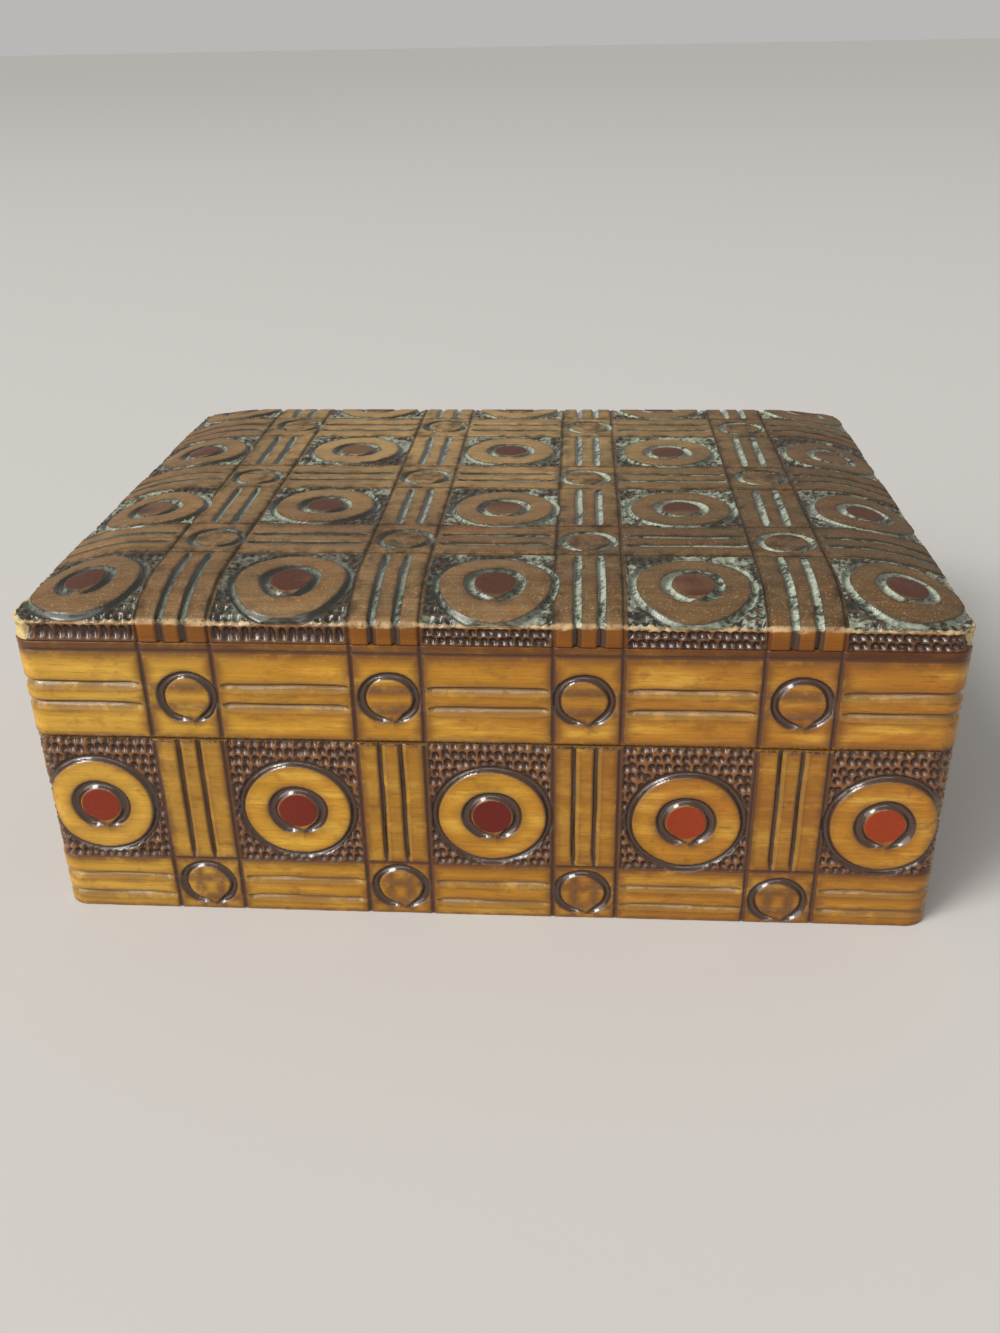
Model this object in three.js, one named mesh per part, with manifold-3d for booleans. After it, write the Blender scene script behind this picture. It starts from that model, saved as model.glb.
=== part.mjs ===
// Carved wooden trinket box with a hinged lid.
//
// Millimetres, +Z up. The origin is the centre of the footprint, on the surface the box stands on.
// The front of the box faces -Y and its width runs along X.
//
// The base is four boards round a bottom board that is let into a rebate. The lid is a pillowed
// top board glued on four rails. Front and back boards run the full width and are rebated at
// their ends for the side boards. Two brass butt hinges are let into the back edges, which are
// bevelled so that the lid opens to its stop.
//
// All outsides are carved with V-shaped grooves. Plain columns and bands carry pairs of gouges,
// with a small circle at each crossing, and each square between them holds a ring with an eye.
// The columns run up the front, over the top and down the back, and the bands run up the sides
// and across the top.

import * as THREE from 'three';
import { mergeVertices } from 'three/addons/utils/BufferGeometryUtils.js';
import Module from 'manifold-3d';

const wasm = await Module();
wasm.setup();

// Box
const boxWidth = 151.5;
const boxDepth = 118.5;
const cornerRadius = 4;
const wallThickness = 8;
const cornerLap = 3.8; // board left outside the rebate that takes the side board's end

// Base
const baseHeight = 34.65;
const bottomThickness = 3;
const bottomLap = 4.2; // how far the bottom board runs into the walls
const bottomClearance = 0.15;

// Lid
const lidGap = 0.5; // the dark line between base and lid
const railHeight = 17.45;
const topEdgeThickness = 3.9;
const topCrown = 3.6; // rise of the pillowed top above its edges
const crownSideReach = 17; // how far the crown's slope runs in from the ends
const crownFrontReach = 13; // and from the front and back
const topArris = 0.8; // worn rounding of the top edge
const lidOpenAngle = 100;
const bevelSpareAngle = 1; // each bevel is this much steeper than half the opening

// Hinges
const hingeEndDistance = 30; // box end to the middle of the nearer hinge
const hingeLength = 20;
const leafThickness = 0.7;
const leafReach = 5.2; // from the hinge axis to the leaf's long edge
const barrelRadius = 1.6;
const pinRadius = 0.8;
const pinClearance = 0.15;
const knuckleCount = 3;
const hingeClearance = 0.3;

// Hinge screws
const screwEndDistance = 3.5; // from the leaf's end
const screwSetback = 3.5; // from the hinge axis
const screwHeadRadius = 1.15;
const screwHeadDepth = 0.5;
const screwShankRadius = 0.6;
const screwLength = 7;
const screwTipLength = 1.2;
const screwClearance = 0.15;

// Layout of the carving. It was set out by hand, so the columns and rings drift to one side.
const columnPitch = 32.8;
const columnWidth = 11.2;
const columnDrift = [0.35, 1.2, 0.3, 0.6];
const ringDrift = [0.2, 1, 1.1, 0.5, 0.3];
const bandSetback = 26.6; // from the front edge to the middle of the first band
const bandPitch = 33.8;
const bandWidth = 13.3;
const ringHeight = 20.9; // middle of the base's rings above the table
const endEyeDistance = 7.3; // from the last band of a side to the eye at its end
const ringOverhang = 3; // how far a ring may run past the end of a face
const columnFoot = 11.8; // where the gouges of the base's columns start
const footCircleHeight = 5.4;
const footGougeHeight = 4.6; // middle of each pair of gouges along the foot
const lidCircleRise = 7.95; // above the lid's bottom
const lidGougeRise = 7.7;

// Grooves
const ringDiameter = 20.4; // outside the groove, as for the eye and the circle
const ringGroove = { width: 1.5, depth: 0.95 };
const eyeDiameter = 10.2;
const circleDiameter = 9.9;
const eyeGroove = { width: 1.7, depth: 0.8 };
const eyeRidge = 1; // wood left between the ends of the groove round an eye or a circle
const gouge = { width: 1.5, depth: 0.7 };
const columnGougeSpacing = 3.6;
const bandGougeSpacing = 4;
const gougeSetback = 1; // from a gouge's end to the column or band that it stops at

// Smoothness
const cornerSegments = 4;
const crownSegments = 2;
const barrelSegments = 14;
const screwSegments = 8;
const ringSegments = 11;
const eyeSegments = 6;

// How far a cutting shape runs past the face that it cuts
const overcut = 2;
const grooveOvercut = 0.8;
const weldDistance = 1e-5;

// Levels and planes that several pieces share
const halfWidth = boxWidth / 2;
const halfDepth = boxDepth / 2;
const lidBottom = baseHeight + lidGap;
const railTop = lidBottom + railHeight;
const lidEdgeTop = railTop + topEdgeThickness;
const innerHalfWidth = halfWidth - wallThickness;
const innerHalfDepth = halfDepth - wallThickness;
const hingeAxis = { y: halfDepth - barrelRadius, z: baseHeight + lidGap / 2 };
const hingeCentres = [-(halfWidth - hingeEndDistance), halfWidth - hingeEndDistance];
const quarterTurn = Math.PI / 2;

// Materials
const finishes = {
  amberWood: new THREE.MeshStandardMaterial({ color: 0xb7822f, roughness: 0.35, metalness: 0 }),
  brownWood: new THREE.MeshStandardMaterial({ color: 0x6f5440, roughness: 0.5, metalness: 0 }),
  bareWood: new THREE.MeshStandardMaterial({ color: 0xc9a877, roughness: 0.7, metalness: 0 }),
  brass: new THREE.MeshStandardMaterial({ color: 0xb08d48, roughness: 0.35, metalness: 1 }),
};

const box = new THREE.Group();

// Solids

function solidOf(geometry) {
  const bare = new THREE.BufferGeometry();
  bare.setAttribute('position', geometry.getAttribute('position'));
  if (geometry.index) {
    bare.setIndex(geometry.index);
  }
  const welded = mergeVertices(bare, weldDistance);
  return new wasm.Manifold(new wasm.Mesh({
    numProp: 3,
    vertProperties: Float32Array.from(welded.getAttribute('position').array),
    triVerts: Uint32Array.from(welded.index.array),
  }));
}

function geometryOf(solid) {
  const mesh = solid.getMesh();
  const geometry = new THREE.BufferGeometry();
  geometry.setAttribute('position', new THREE.BufferAttribute(mesh.vertProperties, mesh.numProp));
  geometry.setIndex(new THREE.BufferAttribute(mesh.triVerts, 1));
  geometry.computeVertexNormals();
  return geometry;
}

function addPiece(name, solid, finish) {
  const piece = new THREE.Mesh(geometryOf(solid), finishes[finish]);
  piece.name = name;
  box.add(piece);
}

function cutAll(solid, cutters) {
  return cutters.reduce((left, cutter) => left.subtract(cutter), solid);
}

function block(low, high) {
  const size = high.map((value, i) => value - low[i]);
  const middle = high.map((value, i) => (value + low[i]) / 2);
  return solidOf(new THREE.BoxGeometry(...size).translate(...middle));
}

function rodAlongX(radius, x0, x1, axis) {
  const rod = new THREE.CylinderGeometry(radius, radius, x1 - x0, barrelSegments);
  rod.rotateZ(Math.PI / 2);
  rod.translate((x0 + x1) / 2, axis.y, axis.z);
  return solidOf(rod);
}

function prism(outline, z0, z1) {
  const shape = new THREE.Shape(outline.map(([x, y]) => new THREE.Vector2(x, y)));
  const body = new THREE.ExtrudeGeometry(shape, { depth: z1 - z0, bevelEnabled: false });
  return solidOf(body.translate(0, 0, z0));
}

// A prism along X of an outline given as [y, z] points
function prismAlongX(outline, x0, x1) {
  const shape = new THREE.Shape(outline.map(([y, z]) => new THREE.Vector2(y, z)));
  const body = new THREE.ExtrudeGeometry(shape, { depth: x1 - x0, bevelEnabled: false });
  body.rotateY(Math.PI / 2);
  body.rotateX(Math.PI / 2);
  return solidOf(body.translate(x0, 0, 0));
}

// The box's outline in plan, with its rounded corners
function boxOutline() {
  const x = halfWidth - cornerRadius;
  const y = halfDepth - cornerRadius;
  const outline = new THREE.Shape();
  outline.absarc(x, -y, cornerRadius, -quarterTurn, 0);
  outline.absarc(x, y, cornerRadius, 0, quarterTurn);
  outline.absarc(-x, y, cornerRadius, quarterTurn, 2 * quarterTurn);
  outline.absarc(-x, -y, cornerRadius, 2 * quarterTurn, 3 * quarterTurn);
  outline.closePath();
  return outline;
}

function boxPrism(z0, z1) {
  const body = new THREE.ExtrudeGeometry(boxOutline(), {
    depth: z1 - z0,
    bevelEnabled: false,
    curveSegments: cornerSegments,
  });
  return solidOf(body.translate(0, 0, z0));
}

// Boards of one ring of walls, as plans that meet at the corner rebates

// side is -1 for the front board and 1 for the back board
function crossBoard(side, z0, z1) {
  const outer = side * (halfDepth + overcut);
  const lap = side * (halfDepth - cornerLap);
  const inner = side * innerHalfDepth;
  const end = halfWidth + overcut;
  const plan = [
    [-end, outer], [end, outer], [end, lap], [innerHalfWidth, lap],
    [innerHalfWidth, inner], [-innerHalfWidth, inner], [-innerHalfWidth, lap], [-end, lap],
  ];
  const board = prism(side < 0 ? plan : plan.toReversed(), z0, z1);
  return board.intersect(boxPrism(z0, z1));
}

// side is -1 for the left board and 1 for the right board
function sideBoard(side, z0, z1) {
  const near = side * innerHalfWidth;
  const far = side * (halfWidth + overcut);
  const reach = halfDepth - cornerLap;
  const board = block([Math.min(near, far), -reach, z0], [Math.max(near, far), reach, z1]);
  return board.intersect(boxPrism(z0, z1));
}

// Cuts for the hinges. up is 1 in the lid, whose wood lies above the hinge axis, and -1 in the base.

function backBevel(up) {
  const slope = THREE.MathUtils.degToRad(lidOpenAngle / 2 + bevelSpareAngle);
  const offset = lidGap / 2 / Math.cos(slope);
  const rise = (y) => hingeAxis.z + up * (offset + (y - hingeAxis.y) * Math.tan(slope));
  const outside = halfDepth + overcut;
  const past = hingeAxis.z - up * overcut;
  const start = hingeAxis.y + (-overcut - offset) / Math.tan(slope);
  const outline = [[start, past], [outside, past], [outside, rise(outside)]];
  const end = halfWidth + overcut;
  return prismAlongX(up > 0 ? outline : outline.toReversed(), -end, end);
}

function hingeCuts(up) {
  const face = hingeAxis.z + up * lidGap / 2;
  const floor = face + up * leafThickness;
  const past = face - up * overcut;
  const reach = hingeLength / 2 + hingeClearance;
  const cuts = [backBevel(up)];
  for (const x of hingeCentres) {
    cuts.push(rodAlongX(barrelRadius + hingeClearance, x - reach, x + reach, hingeAxis));
    cuts.push(block(
      [x - reach, hingeAxis.y - leafReach - hingeClearance, Math.min(floor, past)],
      [x + reach, hingeAxis.y, Math.max(floor, past)],
    ));
    for (const screwX of screwPlaces(x)) {
      cuts.push(pilotHole(screwX, up));
    }
  }
  return cuts;
}

// Screws stand on their heads' level, with their points away from the gap

function screwPlaces(hingeX) {
  const offset = hingeLength / 2 - screwEndDistance;
  return [hingeX - offset, hingeX + offset];
}

function turned(profile, x, up) {
  const points = profile.map(([radius, depth]) => new THREE.Vector2(radius, depth));
  const body = new THREE.LatheGeometry(points, screwSegments);
  body.rotateX(up > 0 ? Math.PI / 2 : -Math.PI / 2);
  body.translate(x, hingeAxis.y - screwSetback, hingeAxis.z + up * lidGap / 2);
  return solidOf(body);
}

function screw(x, up) {
  return turned([
    [0, 0],
    [screwHeadRadius, 0],
    [screwShankRadius, screwHeadDepth],
    [screwShankRadius, screwLength - screwTipLength],
    [0, screwLength],
  ], x, up);
}

function pilotHole(x, up) {
  const radius = screwShankRadius + screwClearance;
  const deep = screwLength + overcut;
  return turned([[0, -overcut], [radius, -overcut], [radius, deep], [0, deep]], x, up);
}

function countersunkHole(x, up) {
  const shank = screwShankRadius + screwClearance;
  const head = screwHeadRadius + screwClearance;
  return turned([
    [0, -overcut], [head, -overcut], [head, 0], [shank, screwHeadDepth + screwClearance],
    [shank, overcut], [0, overcut],
  ], x, up);
}

// Hinge leaves. The base leaf has the outer knuckles and the lid leaf the middle one.

function knuckleSpan(hingeX, index) {
  const length = (hingeLength - (knuckleCount - 1) * hingeClearance) / knuckleCount;
  const start = hingeX - hingeLength / 2 + index * (length + hingeClearance);
  return [start, start + length];
}

function hingeLeaf(hingeX, up) {
  const face = hingeAxis.z + up * lidGap / 2;
  const floor = face + up * leafThickness;
  const halfLength = hingeLength / 2;
  let leaf = block(
    [hingeX - halfLength, hingeAxis.y - leafReach, Math.min(face, floor)],
    [hingeX + halfLength, hingeAxis.y, Math.max(face, floor)],
  );
  const barrelReach = barrelRadius + hingeClearance;
  for (let i = 0; i < knuckleCount; i += 1) {
    const [x0, x1] = knuckleSpan(hingeX, i);
    const own = (i % 2 === 0) === (up < 0);
    if (own) {
      leaf = leaf.add(rodAlongX(barrelRadius, x0, x1, hingeAxis));
    } else {
      leaf = leaf.subtract(block(
        [x0 - hingeClearance, hingeAxis.y - barrelReach, hingeAxis.z - barrelReach],
        [x1 + hingeClearance, hingeAxis.y + barrelReach, hingeAxis.z + barrelReach],
      ));
    }
  }
  const boreEnds = [hingeX - hingeLength, hingeX + hingeLength];
  const bore = rodAlongX(pinRadius + pinClearance, ...boreEnds, hingeAxis);
  const holes = screwPlaces(hingeX).map((x) => countersunkHole(x, up));
  return cutAll(leaf, [bore, ...holes]);
}

// Grooves. A place is a point of a carved face with the direction that points out of it.

// A V-shaped cutter along a row of places, from the first to the last or round in a ring
function groove(places, { width, depth }, closed = false) {
  const flank = (width / 2) * (1 + grooveOvercut / depth);
  const count = places.length;
  const corners = [];
  places.forEach(({ point, out }, i) => {
    const before = places[closed ? (i + count - 1) % count : Math.max(i - 1, 0)];
    const after = places[closed ? (i + 1) % count : Math.min(i + 1, count - 1)];
    const side = after.point.clone().sub(before.point).cross(out).normalize();
    const lip = point.clone().addScaledVector(out, grooveOvercut);
    corners.push(
      point.clone().addScaledVector(out, -depth),
      lip.clone().addScaledVector(side, flank),
      lip.clone().addScaledVector(side, -flank),
    );
  });
  const faces = [];
  for (let i = 0; i < (closed ? count : count - 1); i += 1) {
    const here = 3 * i;
    const next = 3 * ((i + 1) % count);
    for (let k = 0; k < 3; k += 1) {
      const turn = (k + 1) % 3;
      faces.push(here + turn, here + k, next + k, here + turn, next + k, next + turn);
    }
  }
  if (!closed) {
    const last = 3 * (count - 1);
    faces.push(0, 1, 2, last, last + 2, last + 1);
  }
  const body = new THREE.BufferGeometry().setFromPoints(corners);
  body.setIndex(faces);
  return solidOf(body);
}

// A round groove on a face. A ridge, where there is one, is left at its lowest point.
function roundGroove(placeAt, [u, v], diameter, shape, segments, ridge = 0) {
  const radius = (diameter - shape.width) / 2;
  const start = ridge ? (ridge + shape.width) / 2 / radius : 0;
  const count = ridge ? segments + 1 : segments;
  const places = Array.from({ length: count }, (_, i) => {
    const angle = start + 2 * (Math.PI - start) * (i / segments);
    return placeAt(u + radius * Math.sin(angle), v - radius * Math.cos(angle));
  });
  return groove(places, shape, !ridge);
}

function ringWithEye(placeAt, centre) {
  return [roundGroove(placeAt, centre, ringDiameter, ringGroove, ringSegments), eye(placeAt, centre)];
}

function eye(placeAt, centre) {
  return roundGroove(placeAt, centre, eyeDiameter, eyeGroove, eyeSegments, eyeRidge);
}

function circle(placeAt, centre) {
  return roundGroove(placeAt, centre, circleDiameter, eyeGroove, eyeSegments, eyeRidge);
}

function pair(middle, spacing) {
  return [middle - spacing / 2, middle + spacing / 2];
}

// Middles of the columns and rings along X, and of the bands and rings along Y

function spread(count, pitch, drift) {
  return Array.from({ length: count }, (_, i) => (
    (i - (count - 1) / 2) * pitch + drift[i % drift.length]
  ));
}

// Where a face ends on a rounded corner, measured along the face from its middle
function faceEnd(half) {
  return half - cornerRadius + cornerRadius * quarterTurn;
}

function ringsThatFit(middles, half) {
  return middles.filter((middle) => Math.abs(middle) + ringDiameter / 2 < half + ringOverhang);
}

const columnCount = 2 * Math.round((halfWidth - columnWidth / 2) / columnPitch);
const columns = spread(columnCount, columnPitch, columnDrift);
const columnRings = ringsThatFit(spread(columnCount + 1, columnPitch, ringDrift), halfWidth);
const bandCount = Math.ceil((boxDepth - bandSetback - bandWidth / 2) / bandPitch);
const bands = Array.from({ length: bandCount }, (_, i) => bandSetback + i * bandPitch - halfDepth);
const bandRings = bands.slice(1).map((y) => y - bandPitch / 2);
const rowRings = ringsThatFit(
  [bands[0] - bandPitch / 2, ...bandRings, bands.at(-1) + bandPitch / 2],
  halfDepth,
);
const bandReach = bandWidth / 2 + endEyeDistance;
const bandEyes = [bands[0] - bandReach, bands.at(-1) + bandReach];

// The four sides: quarter turns from the front, the way in which places run along the side seen
// from outside, and what it carries
const sides = {
  front: { turn: 0, run: 1, lines: columns, width: columnWidth, rings: columnRings, eyes: [] },
  back: { turn: 2, run: -1, lines: columns, width: columnWidth, rings: columnRings, eyes: [] },
  right: { turn: 1, run: 1, lines: bands, width: bandWidth, rings: bandRings, eyes: bandEyes },
  left: { turn: 3, run: -1, lines: bands, width: bandWidth, rings: bandRings, eyes: bandEyes },
};

// The stretches between the columns or bands, out to both ends, given their middles in order
function gaps(lines, width, end) {
  const starts = [-end, ...lines.map((line) => line + width / 2 + gougeSetback)];
  const stops = [...lines.map((line) => line - width / 2 - gougeSetback), end];
  return starts.map((start, i) => [start, stops[i]]);
}

// Walls and rails. u runs along a board's outside, round its corners too, and v runs up.

function wallPlaces({ turn }) {
  const across = turn % 2;
  const straight = (across ? halfDepth : halfWidth) - cornerRadius;
  const distance = across ? halfWidth : halfDepth;
  return (u, v) => {
    const past = Math.min(Math.max(Math.abs(u) - straight, 0) / cornerRadius, quarterTurn);
    const angle = Math.sign(u) * past;
    const out = new THREE.Vector3(Math.sin(angle), -Math.cos(angle), 0);
    const x = THREE.MathUtils.clamp(u, -straight, straight);
    const point = new THREE.Vector3(x, cornerRadius - distance, v);
    point.addScaledVector(out, cornerRadius);
    const upright = new THREE.Vector3(0, 0, 1);
    point.applyAxisAngle(upright, turn * quarterTurn);
    out.applyAxisAngle(upright, turn * quarterTurn);
    return { point, out };
  };
}

// A groove along a board at one height, with its bends at the corners
function levelGroove(side, [u0, u1], v, shape) {
  const placeAt = wallPlaces(side);
  const straight = (side.turn % 2 ? halfDepth : halfWidth) - cornerRadius;
  const bends = Array.from({ length: cornerSegments + 1 }, (_, i) => (
    straight + (i / cornerSegments) * cornerRadius * quarterTurn
  ));
  const all = [...bends.map((u) => -u).toReversed(), ...bends];
  const between = all.filter((u) => u > u0 && u < u1);
  return groove([u0, ...between, u1].map((u) => placeAt(u, v)), shape);
}

// What walls and rails have alike: circles on the columns and pairs of gouges between them
function boardGrooves(side, circleHeight, gougeHeight) {
  const { turn, run, width } = side;
  const lines = side.lines.map((place) => run * place).sort((a, b) => a - b);
  const end = faceEnd(turn % 2 ? halfDepth : halfWidth);
  const cuts = lines.map((middle) => circle(wallPlaces(side), [middle, circleHeight]));
  for (const stretch of gaps(lines, width, end)) {
    for (const v of pair(gougeHeight, bandGougeSpacing)) {
      cuts.push(levelGroove(side, stretch, v, gouge));
    }
  }
  return cuts;
}

function wallGrooves(side) {
  const placeAt = wallPlaces(side);
  const cuts = boardGrooves(side, footCircleHeight, footGougeHeight);
  for (const place of side.lines) {
    for (const u of pair(side.run * place, columnGougeSpacing)) {
      const ends = [columnFoot, baseHeight + overcut].map((v) => placeAt(u, v));
      cuts.push(groove(ends, gouge));
    }
  }
  for (const place of side.rings) {
    cuts.push(...ringWithEye(placeAt, [side.run * place, ringHeight]));
  }
  for (const place of side.eyes) {
    cuts.push(eye(placeAt, [side.run * place, ringHeight]));
  }
  return cuts;
}

function railGrooves(side) {
  return boardGrooves(side, lidBottom + lidCircleRise, lidBottom + lidGougeRise);
}

// Base

const bottomRoom = block(
  [-(innerHalfWidth + bottomLap), -(innerHalfDepth + bottomLap), -overcut],
  [innerHalfWidth + bottomLap, innerHalfDepth + bottomLap, bottomThickness],
);
const bottomHalfWidth = innerHalfWidth + bottomLap - bottomClearance;
const bottomHalfDepth = innerHalfDepth + bottomLap - bottomClearance;

const walls = {
  front: crossBoard(-1, 0, baseHeight),
  back: cutAll(crossBoard(1, 0, baseHeight), hingeCuts(-1)),
  left: sideBoard(-1, 0, baseHeight),
  right: sideBoard(1, 0, baseHeight),
};
for (const [name, wall] of Object.entries(walls)) {
  addPiece(`base_${name}_wall`, cutAll(wall, [bottomRoom, ...wallGrooves(sides[name])]), 'amberWood');
}
addPiece('base_bottom_board', block(
  [-bottomHalfWidth, -bottomHalfDepth, 0],
  [bottomHalfWidth, bottomHalfDepth, bottomThickness],
), 'bareWood');

// Lid

const rails = {
  front: crossBoard(-1, lidBottom, railTop),
  back: cutAll(crossBoard(1, lidBottom, railTop), hingeCuts(1)),
  left: sideBoard(-1, lidBottom, railTop),
  right: sideBoard(1, lidBottom, railTop),
};
for (const [name, rail] of Object.entries(rails)) {
  addPiece(`lid_${name}_rail`, cutAll(rail, railGrooves(sides[name])), 'amberWood');
}

// How far the crown has risen at a distance in from an edge, from 0 at the edge to 1
function crownRise(distance, reach) {
  const left = 1 - THREE.MathUtils.clamp(distance / reach, 0, 1);
  return 1 - left * left;
}

function crownHeight(x, y) {
  const alongX = crownRise(halfWidth - Math.abs(x), crownSideReach);
  const alongY = crownRise(halfDepth - Math.abs(y), crownFrontReach);
  return lidEdgeTop + topCrown * alongX * alongY;
}

// Distances in from an edge at which the crown's slope bends
function crownInsets(reach) {
  return Array.from({ length: crownSegments + 1 }, (_, i) => reach * (i / crownSegments));
}

// Places of those bends across the whole top
function crownLines(half, reach) {
  const outer = crownInsets(reach).map((inset) => half - inset);
  return [...outer.map((place) => -place), ...outer.toReversed()];
}

// Points round the box's outline, drawn in on all sides
function outlineRing(inset, z) {
  return boxOutline().getPoints(cornerSegments).slice(0, -1).map(({ x, y }) => (
    new THREE.Vector3(x * (1 - inset / halfWidth), y * (1 - inset / halfDepth), z)
  ));
}

// A closed solid through rings of points, each ring counted anticlockwise, from the lowest to the top
function loft(rings) {
  const count = rings[0].length;
  const middleOf = (ring) => ring.reduce((sum, point) => sum.add(point), new THREE.Vector3())
    .divideScalar(count);
  const points = [...rings.flat(), middleOf(rings[0]), middleOf(rings.at(-1))];
  const bottom = rings.length * count;
  const faces = [];
  for (let i = 0; i < count; i += 1) {
    const next = (i + 1) % count;
    for (let start = 0; start < bottom - count; start += count) {
      const above = start + count;
      faces.push(start + i, start + next, above + next, start + i, above + next, above + i);
    }
    faces.push(bottom, next, i);
    faces.push(bottom + 1, bottom - count + i, bottom - count + next);
  }
  const body = new THREE.BufferGeometry().setFromPoints(points);
  body.setIndex(faces);
  return solidOf(body);
}

// A rectangular block whose top follows the crown over a grid of lines
function crownBlock() {
  const xs = crownLines(halfWidth, crownSideReach);
  const ys = crownLines(halfDepth, crownFrontReach).toReversed();
  const top = new THREE.PlaneGeometry(1, 1, xs.length - 1, ys.length - 1);
  const places = top.getAttribute('position');
  for (let i = 0; i < places.count; i += 1) {
    const x = xs[i % xs.length];
    const y = ys[Math.floor(i / xs.length)];
    places.setXYZ(i, x, y, crownHeight(x, y));
  }
  return closedBelow(top, xs.length, ys.length, railTop);
}

// The solid between a grid of faces and a level under it
function closedBelow(top, across, down, z) {
  const upper = top.getAttribute('position');
  const count = upper.count;
  const points = [];
  for (let i = 0; i < 2 * count; i += 1) {
    const point = new THREE.Vector3().fromBufferAttribute(upper, i % count);
    points.push(i < count ? point : point.setZ(z));
  }
  const faces = [...top.index.array];
  for (let i = 0; i < top.index.count; i += 3) {
    faces.push(...[2, 1, 0].map((k) => top.index.array[i + k] + count));
  }
  const rim = [
    ...Array.from({ length: across - 1 }, (_, i) => i),
    ...Array.from({ length: down - 1 }, (_, i) => across - 1 + i * across),
    ...Array.from({ length: across - 1 }, (_, i) => count - 1 - i),
    ...Array.from({ length: down - 1 }, (_, i) => (down - 1 - i) * across),
  ];
  rim.forEach((here, i) => {
    const next = rim[(i + 1) % rim.length];
    faces.push(here, next, next + count, here, next + count, here + count);
  });
  const body = new THREE.BufferGeometry().setFromPoints(points);
  body.setIndex(faces);
  return solidOf(body);
}

// The crowned block inside the box's rounded outline, with the arris sloped off all round
function topBoard() {
  const arrisTop = crownHeight(0, halfDepth - topArris);
  const steepness = (arrisTop - lidEdgeTop + topArris) / topArris;
  const rise = topArris + topCrown + overcut;
  return crownBlock().intersect(loft([
    outlineRing(0, railTop),
    outlineRing(0, lidEdgeTop - topArris),
    outlineRing(rise / steepness, lidEdgeTop - topArris + rise),
  ]));
}

// Grooves of the top

function topPlace(x, y) {
  return { point: new THREE.Vector3(x, y, crownHeight(x, y)), out: new THREE.Vector3(0, 0, 1) };
}

// Places from the foot of the board's edge over its arris and in to a distance from that edge.
// planAt gives the point in plan at a distance in, outward points out of the edge, and reach is
// the length of the crown's slope.
function climb(planAt, outward, reach, stop) {
  const steps = [
    { inset: 0, z: railTop - overcut, lean: 0 },
    { inset: 0, z: lidEdgeTop - topArris, lean: 0 },
  ];
  const bends = crownInsets(reach).filter((inset) => inset > topArris && inset < stop);
  for (const inset of [topArris, ...bends, stop]) {
    steps.push({ inset, z: crownHeight(...planAt(inset)), lean: quarterTurn });
  }
  return steps.map((step) => ({
    point: new THREE.Vector3(...planAt(step.inset), step.z),
    out: outward.clone().multiplyScalar(Math.cos(step.lean)).setZ(Math.sin(step.lean)),
  }));
}

// The pairs of gouges that run one way over the top, along its columns or its bands.
// planOf turns a place along and one across them into a point in plan.
function topGouges(planOf, middles, spacing, { half, reach }, crossings, crossingWidth) {
  const cuts = [];
  const [first, ...between] = gaps(crossings, crossingWidth, half);
  const last = between.pop();
  for (const across of middles.flatMap((middle) => pair(middle, spacing))) {
    for (const [edge, stop] of [[-1, half + first[1]], [1, half - last[0]]]) {
      const planAt = (inset) => planOf(edge * (half - inset), across);
      const outward = new THREE.Vector3(...planOf(edge, 0), 0);
      cuts.push(groove(climb(planAt, outward, reach, stop), gouge));
    }
    for (const stretch of between) {
      const ends = stretch.map((along) => topPlace(...planOf(along, across)));
      cuts.push(groove(ends, gouge));
    }
  }
  return cuts;
}

function topGrooves() {
  const alongY = (along, across) => [across, along];
  const alongX = (along, across) => [along, across];
  const depth = { half: halfDepth, reach: crownFrontReach };
  const width = { half: halfWidth, reach: crownSideReach };
  return [
    ...topGouges(alongY, columns, columnGougeSpacing, depth, bands, bandWidth),
    ...topGouges(alongX, bands, bandGougeSpacing, width, columns, columnWidth),
    ...columnRings.flatMap((x) => rowRings.flatMap((y) => ringWithEye(topPlace, [x, y]))),
    ...columns.flatMap((x) => bands.map((y) => circle(topPlace, [x, y]))),
  ];
}

addPiece('lid_top_board', cutAll(topBoard(), topGrooves()), 'brownWood');

// Hinges

['left', 'right'].forEach((side, i) => {
  const x = hingeCentres[i];
  addPiece(`${side}_hinge_base_leaf`, hingeLeaf(x, -1), 'brass');
  addPiece(`${side}_hinge_lid_leaf`, hingeLeaf(x, 1), 'brass');
  const pinEnds = [x - hingeLength / 2, x + hingeLength / 2];
  addPiece(`${side}_hinge_pin`, rodAlongX(pinRadius, ...pinEnds, hingeAxis), 'brass');
  screwPlaces(x).forEach((screwX, n) => {
    addPiece(`${side}_hinge_base_screw_${n + 1}`, screw(screwX, -1), 'brass');
    addPiece(`${side}_hinge_lid_screw_${n + 1}`, screw(screwX, 1), 'brass');
  });
});

export default box;
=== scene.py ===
"""Carved trinket box: the visible model round its CAD frame.

Lengths in the code are millimetres, and every mesh is written in metres.
A board's own coordinates are: along its face (to the right, seen from outside), outwards, and up.
"""

import math
from functools import reduce

import bpy
import numpy as np
from mathutils import Matrix, Vector


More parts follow.
